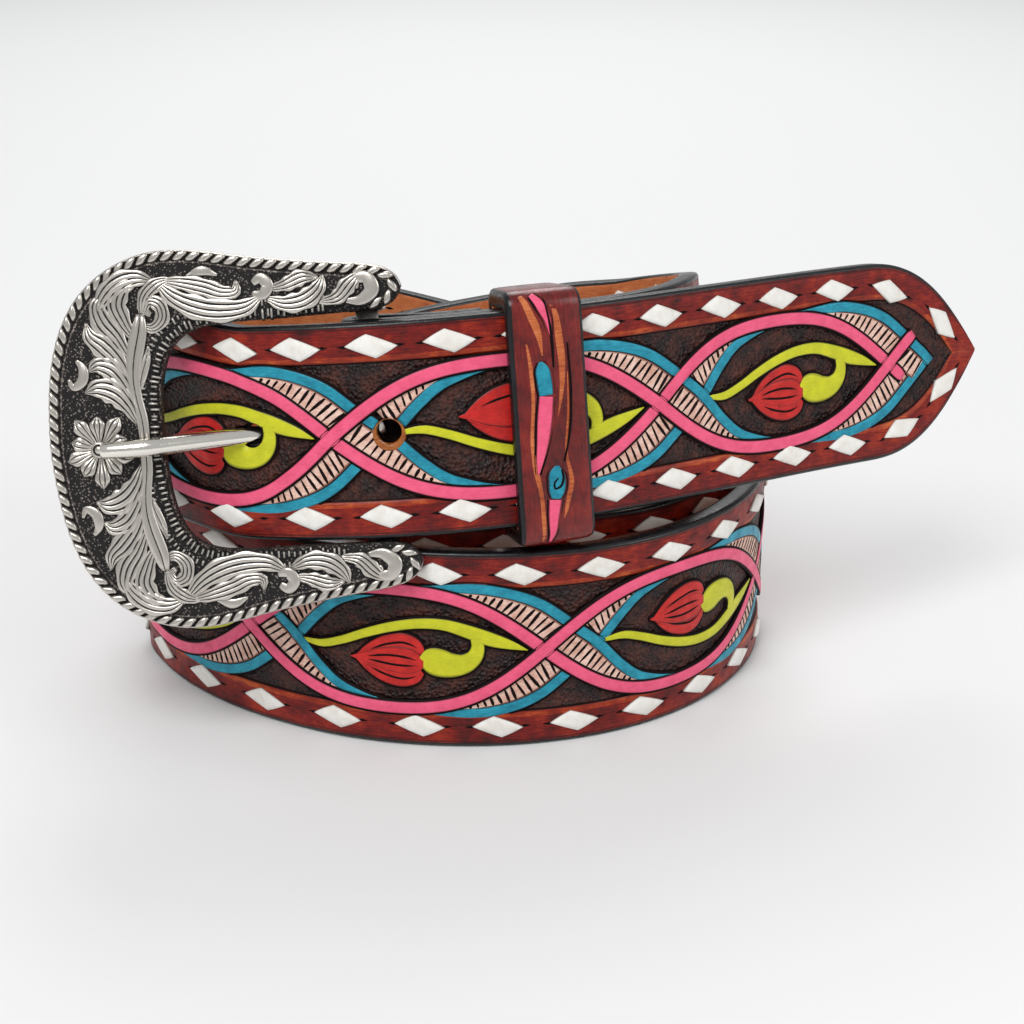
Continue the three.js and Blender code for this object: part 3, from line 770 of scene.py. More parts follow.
class Finish(Enum):
    """Finishes of the belt's pieces."""

    BORDER = DyedLeather("Red brown border", srgb(40, 4, 4), srgb(116, 15, 9), srgb(182, 56, 22), coat=0.04,
        shine=0.3)
    # Lighter orange strip on the bevel at the border's inner edge: partly burnished wear, partly a painted
    # highlight.
    RUBBED = DyedLeather("Rubbed border edge", srgb(92, 16, 8), srgb(148, 44, 18), srgb(214, 108, 46))
    # The ground's second colour is its painted glint.
    FIELD = TooledGround("Stamped dark ground", srgb(26, 10, 11), srgb(92, 46, 34))
    EDGE = DyedLeather("Black burnished edge", srgb(7, 7, 9), srgb(16, 16, 19), srgb(34, 33, 36),
        roughness=0.3, shine=0.35)
    FLESH = DyedLeather("Tan flesh side", srgb(158, 86, 50), srgb(196, 116, 70), srgb(222, 150, 100),
        roughness=0.62, coat=0.0, shine=0.15)
    CUT = DyedLeather("Dark cut line", srgb(16, 6, 7), srgb(26, 10, 10), srgb(44, 18, 14), roughness=0.55,
        coat=0.0, shine=0.1)
    PINK = Paint("Pink paint", srgb(242, 97, 134), srgb(218, 74, 110))
    BLUE = Paint("Blue metallic paint", srgb(46, 160, 184), srgb(16, 108, 132), roughness=0.36, glitter=0.3)
    YELLOW = Paint("Yellow green paint", srgb(208, 208, 34), srgb(180, 182, 30))
    RED = Paint("Red paint", srgb(208, 38, 32), srgb(156, 20, 20))
    CREAM = Paint("Cream hatching", srgb(240, 208, 192), srgb(186, 124, 102), roughness=0.5)
    TAN = DyedLeather("Bare tan leather", srgb(128, 48, 22), srgb(186, 96, 52), srgb(224, 144, 92),
        roughness=0.45)
    KEEPER = DyedLeather("Keeper leather", srgb(54, 7, 8), srgb(106, 18, 16), srgb(150, 42, 26),
        roughness=0.3, coat=0.2, shine=0.4)
    RIM = DyedLeather("Worn hole rim", srgb(98, 48, 18), srgb(150, 84, 36), srgb(196, 128, 66),
        roughness=0.35)
    LACE = LaceLeather("White lace", srgb(238, 236, 231), srgb(220, 213, 203))
    CAST = CastMetal("Antique cast silver", srgb(206, 200, 192), srgb(10, 8, 9), roughness=0.3,
        patina=(0.34, 0.84))
    GROUND = CastMetal("Dark cast ground", srgb(150, 140, 134), srgb(16, 12, 12), roughness=0.45, grain=0.8)
    NICKEL = CastMetal("Bright nickel", srgb(236, 232, 224), srgb(120, 116, 112), roughness=0.16,
        patina=(-0.6, 0.4))

    def material(self) -> bpy.types.Material:
        """The material, made once."""
        found = bpy.data.materials.get(self.value.name)
        return found or self.value.build()


# Lines and ribbons worked into the leather


class Raised(NamedTuple):
    """Corner of a ribbon's section: share of its half width, distance beyond it, height, relief, finish."""

    share: float
    beyond: float
    rise: float
    relief: float
    painted: bool


CUT_WIDTH = 0.42
RIBBON = (
    Raised(-1, -CUT_WIDTH, -1.0, 0.0, False),
    Raised(-1, -CUT_WIDTH + 0.04, -0.05, 0.2, False),
    Raised(-1, -0.05, -0.12, 0.0, False),
    Raised(-1, 0.0, -0.03, 0.3, True),
    Raised(-0.75, 0.0, 0.03, 1.0, True),
    Raised(0, 0.0, 0.05, 1.0, True),
    Raised(0.75, 0.0, 0.03, 1.0, True),
    Raised(1, 0.0, -0.03, 0.3, False),
    Raised(1, 0.05, -0.12, 0.0, False),
    Raised(1, CUT_WIDTH - 0.04, -0.05, 0.2, False),
    Raised(1, CUT_WIDTH, -1.0, 0.0, False),
)


def normals_of(path: Values) -> Values:
    """Directions square to a flat path, on its left."""
    way = np.gradient(path, axis=0)
    way /= np.maximum(np.linalg.norm(way, axis=1), 1e-9)[:, None]
    return np.stack([-way[:, 1], way[:, 0]], 1)


def lay_ribbon(draft: Draft, path: Values, width: Values, top: Values | float,
        keep: Values | None = None) -> None:
    """Adds a raised, painted ribbon with a cut line along each side.

    Args:
        draft: Draft in the strap's space. Finish 0 is the paint and 1 the cut line.
        path: Middle line, rows of s and v.
        width: Width at each row.
        top: Height of the painted face at each row.
        keep: Distance of each row from the nearest hole; the ribbon is broken where it is below zero.
    """
    n = len(path)
    side = normals_of(path)
    half = np.broadcast_to(np.asarray(width, float) / 2, (n,))
    high = np.broadcast_to(np.asarray(top, float), (n,))
    rows = np.empty((n, len(RIBBON), 3))
    relief = np.empty((n, len(RIBBON)))
    for j, r in enumerate(RIBBON):
        reach = r.share * half + r.beyond
        rows[:, j, :2] = path + side * reach[:, None]
        rows[:, j, 2] = high + r.rise
        relief[:, j] = r.relief
    kinds = [0 if r.painted else 1 for r in RIBBON]
    for run, part in kept_runs(np.ones(n) if keep is None else keep):
        draft.grid(blend_rows(rows, run), kinds, relief[part])


def kept_runs(keep: Values) -> list[tuple[Values, Values]]:
    """Unbroken runs of rows where a value is above zero.

    Args:
        keep: Value at each row.

    Returns:
        For each run, its row numbers with parts of a row at the ends, and the nearest whole rows.
    """
    made = []
    inside = np.flatnonzero(keep > 0)
    for part in np.split(inside, np.flatnonzero(np.diff(inside) > 1) + 1):
        if len(part) < 2:
            continue
        first, last = int(part[0]), int(part[-1])
        run = part.astype(float)
        near = part
        if first > 0:
            run = np.concatenate([[first - keep[first] / (keep[first] - keep[first - 1])], run])
            near = np.concatenate([[first], near])
        if last < len(keep) - 1:
            run = np.concatenate([run, [last + keep[last] / (keep[last] - keep[last + 1])]])
            near = np.concatenate([near, [last]])
        made.append((run, near))
    return made


def blend_rows(rows: Values, at: Values) -> Values:
    """Rows read at row numbers that may have a fraction."""
    low = np.clip(np.floor(at).astype(int), 0, len(rows) - 2)
    share = (at - low).reshape((-1,) + (1,) * (rows.ndim - 1))
    return rows[low] * (1 - share) + rows[low + 1] * share


@dataclass
class Holes:
    """Belt holes and their worn rims."""

    strap: Strap
    outer: float = 2.95
    drop: float = 0.68
    rise: float = 0.3
    tongue_hole: int = 2

    def clear(self, path: Values) -> Values:
        """Distance of each row of a path (s, v) from the edge of the nearest hole."""
        near = np.full(len(path), 1e9)
        for s in self.strap.hole_runs():
            near = np.minimum(near, np.hypot(path[:, 0] - s, path[:, 1]))
        return near - self.strap.hole_width / 2 - 0.25

    def around(self, svw: Values) -> Values:
        """Points of the strap's space as points of the part, kept out of the holes."""
        moved = np.array(svw, float)
        for s in self.strap.hole_runs():
            away = moved[:, :2] - np.array([s, 0.0])
            far = np.maximum(np.linalg.norm(away, axis=1), 1e-6)
            least = self.strap.hole_width / 2 - 0.02
            moved[:, :2] += away * (np.clip(least - far, 0, None) / far)[:, None]
        return self.strap.place(moved)

    def skirt(self, path: Values, half: Values) -> Values:
        """A path led round the holes, by at least half its width."""
        moved = path.copy()
        for s in self.strap.hole_runs():
            away = moved - np.array([s, 0.0])
            far = np.maximum(np.linalg.norm(away, axis=1), 1e-6)
            least = self.strap.hole_width / 2 + 0.25 + np.minimum(half, 0.95)
            moved += away * (np.clip(least - far, 0, None) / far)[:, None]
        return moved

    def build(self) -> bpy.types.Object:
        """Rims of worn leather round the holes."""
        draft = Draft()
        sides = 32
        inner = self.strap.hole_width / 2 - 0.12
        rows = ((0.0, -1.6, 0.6), (0.0, self.rise - 0.3, 0.8), (0.25, self.rise - 0.05, 1.0),
                (0.7, self.rise, 1.0), (1.0, self.rise - 0.35, 0.3), (1.0, -1.2, 0.0))
        turn = np.linspace(0, 2 * np.pi, sides, endpoint=False)
        for number, s in enumerate(self.strap.hole_runs()):
            if number == self.tongue_hole:
                continue
            ring = np.empty((sides, len(rows), 3))
            for j, (share, w, _) in enumerate(rows):
                r = inner + (self.outer - inner) * share
                ring[:, j] = np.stack([s + r * np.cos(turn), r * np.sin(turn) - self.drop * share,
                    np.full(sides, w)], 1)
            heights = np.tile([r[2] for r in rows], (sides, 1))
            draft.grid(ring, 0, heights, ring=True)
        piece = draft.build("hole_rims", [Finish.RIM.material()], self.strap.place)
        return deliver(piece, "leather")


# The strap


class Edge(NamedTuple):
    """Row of the strap's section: share of its zone's width, height, relief, finish up to the next row."""

    share: float
    rise: float
    relief: float
    finish: int


BORDER_ROWS = (
    Edge(0.985, -0.34, 1.0, 3),
    Edge(0.935, -0.05, 1.0, 3),
    Edge(0.885, 0.02, 1.0, 0),
    Edge(0.845, -0.03, 0.1, 0),
    Edge(0.805, 0.03, 1.0, 0),
    Edge(0.5, 0.06, 1.0, 0),
    # Finish 1 here is the lighter bevel strip: partly burnished wear, partly a painted highlight.
    Edge(0.15, 0.02, 1.0, 1),
    Edge(0.05, -0.03, 1.0, 1),
    Edge(0.0, -0.24, 0.2, 4),
)
FIELD_SHARES = (0.975, 0.86, 0.74, 0.62, 0.5, 0.38, 0.26, 0.13)


@dataclass
class StrapBody:
    """The strap itself: folded end, coil and pointed end, with border, sunk field and flesh side."""

    strap: Strap
    field_half: float = 12.2
    field_from_tip: float = 6.2
    recess: float = 0.55
    step: float = 1.6
    plain_end: float = 16.0
    slot: bpy.types.Object | None = None

    def field_width(self, s: Values) -> Values:
        """Half width of the sunk field at distances s."""
        span = self.strap.tip_length - self.field_from_tip
        t = np.clip((s - (self.strap.length - self.strap.tip_length)) / span, 0, 1)
        return self.field_half * (1 - t**self.strap.tip_power)

    def sections(self) -> tuple[Values, Values, Values, Values, Values]:
        """Frames of all sections from the folded end to the tip.

        Returns:
            Distance, place, across, out and thickness of each section.
        """
        st = self.strap
        bulge = 2 * (st.bar_radius + st.bar_clearance)
        fold = st.bar_radius + st.bar_clearance + st.fold_thickness
        back = np.linspace(st.turnback, 0, 16, endpoint=False)
        at, _, across, out = st.frames(back)
        ease = smooth(back / st.skive)
        ply = st.fold_thickness + (st.thickness - st.fold_thickness) * ease
        depth = ply + st.ply_gap + (bulge - st.ply_gap) * (1 - ease) + st.fold_thickness
        rows = [(-s, a - o * d, c, -o, st.fold_thickness)
                for s, a, c, o, d in zip(back, at, across, out, depth)]
        at0, along0, across0, out0 = (v[0] for v in st.frames(np.array([0.0])))
        centre = at0 - out0 * fold
        for angle in np.pi * (1 - np.arange(18) / 18):
            out = out0 * math.cos(angle) - along0 * math.sin(angle)
            rows.append((0.0, centre + out * fold, across0, out, st.fold_thickness))
        body = np.arange(0, st.length - st.tip_length, self.step)
        tip = st.length - st.tip_length * (1 - np.sin(np.linspace(0, np.pi / 2, 34)) * 0.994)
        main = np.concatenate([body, tip])
        at, _, across, out = st.frames(main)
        ply = st.fold_thickness + (st.thickness - st.fold_thickness) * smooth(main / st.skive)
        rows += list(zip(main, at, across, out, ply))
        return tuple(np.array([r[k] for r in rows]) for k in range(5))

    def build(self) -> bpy.types.Object:
        """The strap's mesh, with its belt holes cut through."""
        s, at, across, out, ply = self.sections()
        wide = np.where(s > 0, self.strap.half_width(s), self.strap.half)
        sunk = np.where(s > 0, self.field_width(s), self.field_half)
        depth = self.recess * smooth((s - self.plain_end) / 6) * smooth(sunk / 1.5)
        rim = wide - sunk
        half: list[tuple[Values, Values, float, int]] = []
        half.append((wide, -0.5 * ply, 1.0, 3))
        half.append((wide, -0.25 * ply, 1.0, 3))
        ease = smooth(sunk / 1.5)
        for r in BORDER_ROWS:
            share = r.share * (0.06 + 0.94 * ease) if r.share < 0.3 else r.share
            height = r.rise * (ease if r.share < 0.1 else np.ones(len(s)))
            half.append((sunk + rim * share, height, r.relief, r.finish))
        for share in FIELD_SHARES:
            half.append((sunk * share, -depth, 1.0, 2))
        centre = (0 * sunk, -depth, 1.0, 2)
        under = [
            (wide, -0.75 * ply, 1.0, 3),
            (wide - 0.12, -ply + 0.34, 1.0, 3),
            (wide - 0.5 * wide / self.strap.half, -ply + 0.03, 1.0, 5),
            (wide * 0.93, -ply, 1.0, 5),
            (wide * 0.5, -ply - 0.02, 1.0, 5),
            (wide * 0.0, -ply, 1.0, 5),
        ]
        front = half + [centre] + [(-v, w, r, 0) for v, w, r, _ in half[::-1]]
        finishes = [h[3] for h in half] + [h[3] for h in half[::-1]] + [3]
        rows = front + [(-v, w, r, f) for v, w, r, f in under[:5]] + [under[5]] + under[4::-1]
        finishes = finishes[: len(front) - 1] + [3, 3, 3, 5, 5, 5, 5, 5, 5, 3, 3, 3]
        points = np.stack([at + across * v[:, None] + out * w[:, None] for v, w, _, _ in rows], 1)
        relief = np.tile([r[2] for r in rows], (len(s), 1))
        chart = np.stack([np.stack([s, v], 1) for v, _, _, _ in rows], 1)
        draft = Draft()
        draft.grid(points, finishes, relief, chart)
        looks = [Finish.BORDER, Finish.RUBBED, Finish.FIELD, Finish.EDGE, Finish.CUT, Finish.FLESH]
        piece = draft.build("strap_body", [f.material() for f in looks])
        self.cut(piece)
        return deliver(piece, "leather", "strap")

    def cut(self, piece: bpy.types.Object) -> None:
        """Cuts the belt holes through the strap, and the slot for the tongue.

        Args:
            piece: The strap's object.
        """
        st = self.strap
        draft = Draft()
        sides = 28
        turn = np.linspace(0, 2 * np.pi, sides, endpoint=False)
        radius = st.hole_width / 2
        for s in st.hole_runs():
            ends = []
            for w in (1.5, -st.thickness - 1.0):
                flat = np.stack([s + radius * np.cos(turn), radius * np.sin(turn), np.full(sides, w)], 1)
                ends.append(st.place(flat))
            draft.grid(np.array(ends))
        tools = [draft.build("hole_cutter", [Finish.CUT.material()]), self.slot]
        for tool in tools:
            change = piece.modifiers.new("cut", "BOOLEAN")
            change.operation = "DIFFERENCE"
            change.solver = "EXACT"
            change.object = tool
        settle(piece)
        for tool in tools:
            bpy.data.objects.remove(tool)


def settle(piece: bpy.types.Object) -> None:
    """Turns a piece's modifiers into plain mesh."""
    bpy.context.view_layer.update()
    graph = bpy.context.evaluated_depsgraph_get()
    mesh = bpy.data.meshes.new_from_object(piece.evaluated_get(graph))
    piece.modifiers.clear()
    old = piece.data
    piece.data = mesh
    mesh.name = piece.name
    bpy.data.meshes.remove(old)


# Tooled pattern


STEM = (
    Trace(0.205, -0.5, 0.8), Trace(0.27, -0.7, 1.5), Trace(0.335, 0.4, 1.6), Trace(0.422, 2.5, 1.75),
    Trace(0.509, 4.2, 1.9), Trace(0.6, 5.2, 2.0), Trace(0.683, 5.1, 2.2), Trace(0.756, 3.9, 2.6),
    Trace(0.828, 2.4, 2.7), Trace(0.893, 1.2, 1.7), Trace(0.945, 0.1, 0.2),
)
HOOK = (
    Trace(0.780, 2.6, 2.0), Trace(0.786, 1.0, 2.4), Trace(0.776, -0.9, 3.0), Trace(0.746, -2.3, 3.8),
    Trace(0.702, -2.7, 4.8), Trace(0.662, -2.3, 5.5), Trace(0.636, -1.9, 5.1), Trace(0.618, -1.7, 4.0),
    Trace(0.606, -1.6, 2.4), Trace(0.600, -1.5, 0.5),
)
BUD = (
    (
        Trace(0.388, -2.3, 0.4), Trace(0.44, -0.7, 2.6), Trace(0.5, 0.6, 3.9), Trace(0.552, 1.0, 4.0),
        Trace(0.592, 0.2, 2.9), Trace(0.612, -0.6, 1.0),
    ),
    (
        Trace(0.388, -2.5, 0.4), Trace(0.44, -4.0, 2.6), Trace(0.5, -5.2, 3.8), Trace(0.552, -5.6, 3.6),
        Trace(0.59, -5.0, 2.6), Trace(0.608, -4.3, 1.0),
    ),
    (
        Trace(0.372, -2.4, 0.2), Trace(0.42, -2.3, 2.2), Trace(0.47, -2.2, 4.2), Trace(0.53, -2.3, 5.4),
        Trace(0.58, -2.5, 4.8), Trace(0.612, -2.6, 2.0),
    ),
)
VEIN_SHARES = ((0.12,), (-0.12,), (-0.34, 0.34))
DRIFT = ((0.0, -0.3), (30.0, -0.5), (76.0, -0.8), (138.0, -0.8), (162.0, -1.2), (191.0, -1.0), (225.0, 0.0))


class Lace(NamedTuple):
    """Place of a numbered lace stitch: distance from the tip in the upper and in the lower row."""

    number: int
    upper: float
    lower: float


LACE_MARKS = (
    Lace(0, 21.7, 19.4), Lace(10, 156.7, 157.0), Lace(28, 402.9, 410.0), Lace(33, 477.6, 480.9),
    Lace(37, 536.0, 543.5), Lace(74, 1070.0, 1076.0),
)


@dataclass
class Tooling:
    """The strap's carved and painted pattern: two ribbons that weave, hatched bands, scrolls and buds."""

    strap: Strap
    holes: Holes
    crossings: tuple[float, ...] = (22.4, 77.2, 138.3, 191.0, 243.8, 296.5, 349.2, 402.0, 458.2, 514.7)
    pitch: float = 56.5
    first: float = 53.7
    swing: float = 11.55
    fullness: float = 0.07
    ribbon: float = 2.25
    hatch: float = 3.9
    blue: float = 1.95
    gap: float = 0.42
    tick_pitch: float = 1.4
    tick_width: float = 0.56
    layer: float = 0.12
    step: float = 0.9
    start: float = 17.0

    def __post_init__(self) -> None:
        """Carries the crossings on to the folded end."""
        marks = list(self.crossings)
        while self.strap.length - marks[-1] > self.start - self.pitch:
            marks.append(marks[-1] + self.pitch)
        self.marks = np.array([marks[0] - self.first] + marks)
        self.numbers = np.arange(-1, len(marks))

    def phase(self, s: Values) -> Values:
        """Crossing number at distances s, with its share of the way to the next."""
        return np.interp(self.strap.length - s, self.marks, self.numbers)

    def drift(self, s: Values) -> Values:
        """How far the pattern, worked by hand, lies to one side of the middle at distances s."""
        return np.interp(self.strap.length - s, *np.array(DRIFT).T)

    def wave(self, angle: Values) -> Values:
        """Swing of a ribbon, from -1 to 1, a little fuller than a sine."""
        return (np.sin(angle) + self.fullness * np.sin(3 * angle)) / (1 - self.fullness)

    def crossing(self, number: int) -> float:
        """Distance of a numbered crossing along the route."""
        return float(self.strap.length - self.marks[number + 1])

    def band_path(self, number: int, t: Values, rising: bool) -> Values:
        """Middle line of a pink ribbon near a crossing, for shares t from one turn to the other."""
        here = self.crossing(number)
        left = (here - self.crossing(number + 1)) / 2
        right = (self.crossing(number - 1) - here) / 2
        s = here + t * np.where(t < 0, left, right)
        v = self.swing * self.wave(np.pi / 2 * t)
        return np.stack([s, (v if rising else -v) + self.drift(s)], 1)

    def pink(self) -> bpy.types.Object:
        """The two pink ribbons, one lying over the other at every crossing."""
        draft = Draft()
        for over in (True, False):
            stop = self.crossing(0) + (7.0 if over else 4.2)
            s = np.arange(self.start, stop, self.step)
            v = self.swing * self.wave(np.pi * self.phase(s)) * (-1 if over else 1)
            path = np.stack([s, v + self.drift(s)], 1)
            width = self.ribbon * np.sqrt(np.clip((stop - s) / 1.2, 0.12, 1))
            lay_ribbon(draft, path, width, self.layer * (3 if over else 2), self.holes.clear(path))
        piece = draft.build("pink_ribbons", [Finish.PINK.material(), Finish.CUT.material()],
            self.holes.around)
        return deliver(piece, "leather")

    def bands(self) -> list[bpy.types.Object]:
        """Hatched bands along the pink ribbons, and their blue outer lines."""
        base, bars, blue = Draft(), Draft(), Draft()
        for number in self.numbers[1:-1]:
            for rising in (True, False):
                end = 0.97
                hatch_end = 0.68
                if number == 0:
                    end, hatch_end = (0.25, 0.1) if rising else (0.28, 0.2)
                t = np.arange(-0.8, end, self.step / 28)
                path = self.band_path(int(number), t, rising)
                if path[0, 0] < self.start:
                    continue
                side = normals_of(path) * (-1 if rising else 1)
                level = self.layer * (0 if rising else 1)
                hatch = self.hatch * np.minimum(smooth((t + 0.62) / 0.52), smooth((0.7 - t) / 0.56))
                line = self.blue * np.minimum(smooth((t + 0.8) / 0.3), smooth((1.0 - t) / 0.42))
                inner = self.ribbon / 2 + self.gap * 0.5
                place = inner + hatch + self.gap * np.clip(hatch, 0, 1) + line / 2
                edge = path + side * place[:, None]
                lay_ribbon(blue, edge, line, level + 0.01, self.holes.clear(edge))
                middle = path + side * (inner + hatch / 2)[:, None]
                clear = np.minimum(self.holes.clear(middle), (hatch - 0.1) * 4)
                clear = np.minimum(clear, (hatch_end - t) * 28 + 0.01)
                self.lay_base(base, middle, hatch + 0.5, level - 0.03, clear)
                self.lay_ticks(bars, middle, side, hatch, level - 0.02, clear)
        cut = Finish.CUT.material()
        made = [
            (base, "hatch_grounds", [Finish.CREAM.material()]),
            (bars, "hatch_cuts", [cut]),
            (blue, "blue_lines", [Finish.BLUE.material(), cut]),
        ]
        return [deliver(d.build(n, f, self.holes.around), "leather") for d, n, f in made]

    def lay_base(self, draft: Draft, path: Values, width: Values, top: float, keep: Values) -> None:
        """Adds the cream ground of a hatched band.

        Args:
            draft: Draft in the strap's space.
            path: Middle line, rows of s and v.
            width: Width at each row.
            top: Height of its face.
            keep: Value above zero where the band is kept.
        """
        side = normals_of(path)
        profile = ((-0.5, -0.9, 0.0), (-0.5, 0.0, 0.2), (-0.36, 0.0, 1.0), (0.0, 0.02, 1.0),
            (0.36, 0.0, 1.0),
                   (0.5, 0.0, 0.2), (0.5, -0.9, 0.0))
        rows = np.empty((len(path), len(profile), 3))
        for j, (share, w, _) in enumerate(profile):
            rows[:, j, :2] = path + side * (width * share)[:, None]
            rows[:, j, 2] = top + w
        relief = np.tile([r[2] for r in profile], (len(path), 1))
        for run, part in kept_runs(keep):
            draft.grid(blend_rows(rows, run), 0, relief[part])

    def lay_ticks(self, draft: Draft, path: Values, side: Values, width: Values, level: float,
            keep: Values) -> None:
        """Adds the short dark cuts across a hatched band.

        Args:
            draft: Draft in the strap's space.
            path: Middle line of the band.
            side: Directions square to it.
            width: Width of the band at each row.
            level: Height of the band.
            keep: Value above zero where the band is kept.
        """
        run = np.concatenate([[0], np.cumsum(np.linalg.norm(np.diff(path, axis=0), axis=1))])
        seed = np.random.default_rng(int(abs(path[0, 0])) + 7)
        for here in np.arange(self.tick_pitch / 2, run[-1], self.tick_pitch):
            here += seed.uniform(-0.12, 0.12)
            spot = np.array([np.interp(here, run, path[:, k]) for k in range(2)])
            across = np.array([np.interp(here, run, side[:, k]) for k in range(2)])
            long = float(np.interp(here, run, width)) / 2 + 0.12
            if np.interp(here, run, keep) < 0.2 or long < 0.35:
                continue
            way = np.array([across[1], -across[0]])
            lean = across + way * seed.uniform(0.0, 0.3)
            lean /= np.linalg.norm(lean)
            wide = self.tick_width / 2 * seed.uniform(0.7, 1.2)
            outline = ((-1.0, -0.25), (-0.2, -0.9), (0.5, -1.0), (1.0, -0.5), (1.0, 0.5), (0.5, 1.0),
                (-0.2, 0.9), (-1.0, 0.25))
            points = []
            for z in (-0.4, 0.035):
                for a, b in outline:
                    p = spot + lean * long * a + way * wide * b
                    points.append((p[0], p[1], level + z))
            n = len(outline)
            faces = [tuple(range(n))[::-1], tuple(range(n, 2 * n))]
            faces += [(k, (k + 1) % n, n + (k + 1) % n, n + k) for k in range(n)]
            draft.add(np.array(points), faces, 0, np.full(2 * n, 0.4))

    def trace(self, rows: Sequence[Trace], number: int, count: int) -> tuple[Values, Values]:
        """Carries a drawn line into one eye of the pattern.

        Args:
            rows: Rows with shares of the eye's length, heights and widths.
            number: Number of the crossing on the eye's right.
            count: Number of rows in the result.

        Returns:
            Path, rows of s and v, and widths.
        """
        left, right = self.crossing(number + 1), self.crossing(number)
        flip = -1 if number % 2 else 1
        size = right - left
        flat = np.array([(left + r.along * size, flip * r.across, r.width) for r in rows])
        line = curve_through(flat, count)
        line[:, 1] += self.drift(line[:, 0])
        return line[:, :2], np.clip(line[:, 2], 0.1, None)

    def scrolls(self) -> list[bpy.types.Object]:
        """Yellow scroll stems with their round ends, and the red buds."""
        stems, buds = Draft(), Draft()
        for number in self.numbers[1:-1]:
            if self.crossing(int(number) + 1) + 8 < self.start:
                continue
            top = self.layer * 0.4
            path, width = self.trace(STEM, int(number), 44)
            lay_ribbon(stems, path, width, top, self.holes.clear(path))
            path, width = self.trace(HOOK, int(number), 40)
            led = self.holes.skirt(path, width / 2)
            width = np.maximum(width - 2.2 * np.linalg.norm(led - path, axis=1), np.minimum(width, 1.9))
            lay_ribbon(stems, led, width, top - 0.03)
            for k, petal in enumerate(BUD):
                path, width = self.trace(petal, int(number), 30)
                high = top - 0.12 + 0.05 * k
                lay_ribbon(buds, path, width, high, self.holes.clear(path))
                for share in VEIN_SHARES[k]:
                    sub, wide = path[7:-3], width[7:-3]
                    bend = np.sin(np.linspace(0, np.pi, len(sub))) * 0.3 + 0.7
                    vein = sub.copy()
                    vein[:, 1] += share * wide / 2 * bend
                    if np.all(self.holes.clear(vein) > 0):
                        self.lay_cut(buds, vein, high + 0.09, 0.5)
        cut = Finish.CUT.material()
        made = [(stems, "scroll_stems", Finish.YELLOW), (buds, "buds", Finish.RED)]
        return [deliver(d.build(n, [f.material(), cut], self.holes.around), "leather") for d, n, f in made]

    def lay_cut(self, draft: Draft, path: Values, top: float, width: float = 0.34) -> None:
        """Adds a fine dark line that tapers at both ends.

        Args:
            draft: Draft in the strap's space, with finish 1 for the cut.
            path: Middle line, rows of s and v.
            top: Height of its face.
            width: Width in its middle.
        """
        side = normals_of(path)
        wide = width / 2 * np.clip(np.sin(np.linspace(0.05, np.pi - 0.05, len(path))) * 1.6, 0.1, 1)
        rows = []
        for share, w in ((-1, top - 0.3), (-0.8, top), (0.8, top), (1, top - 0.3)):
            rows.append(np.hstack([path + side * (wide * share)[:, None], np.full((len(path), 1), w)]))
        draft.grid(np.stack(rows, 1), 1, np.zeros((len(path), 4)))


# Things placed many times


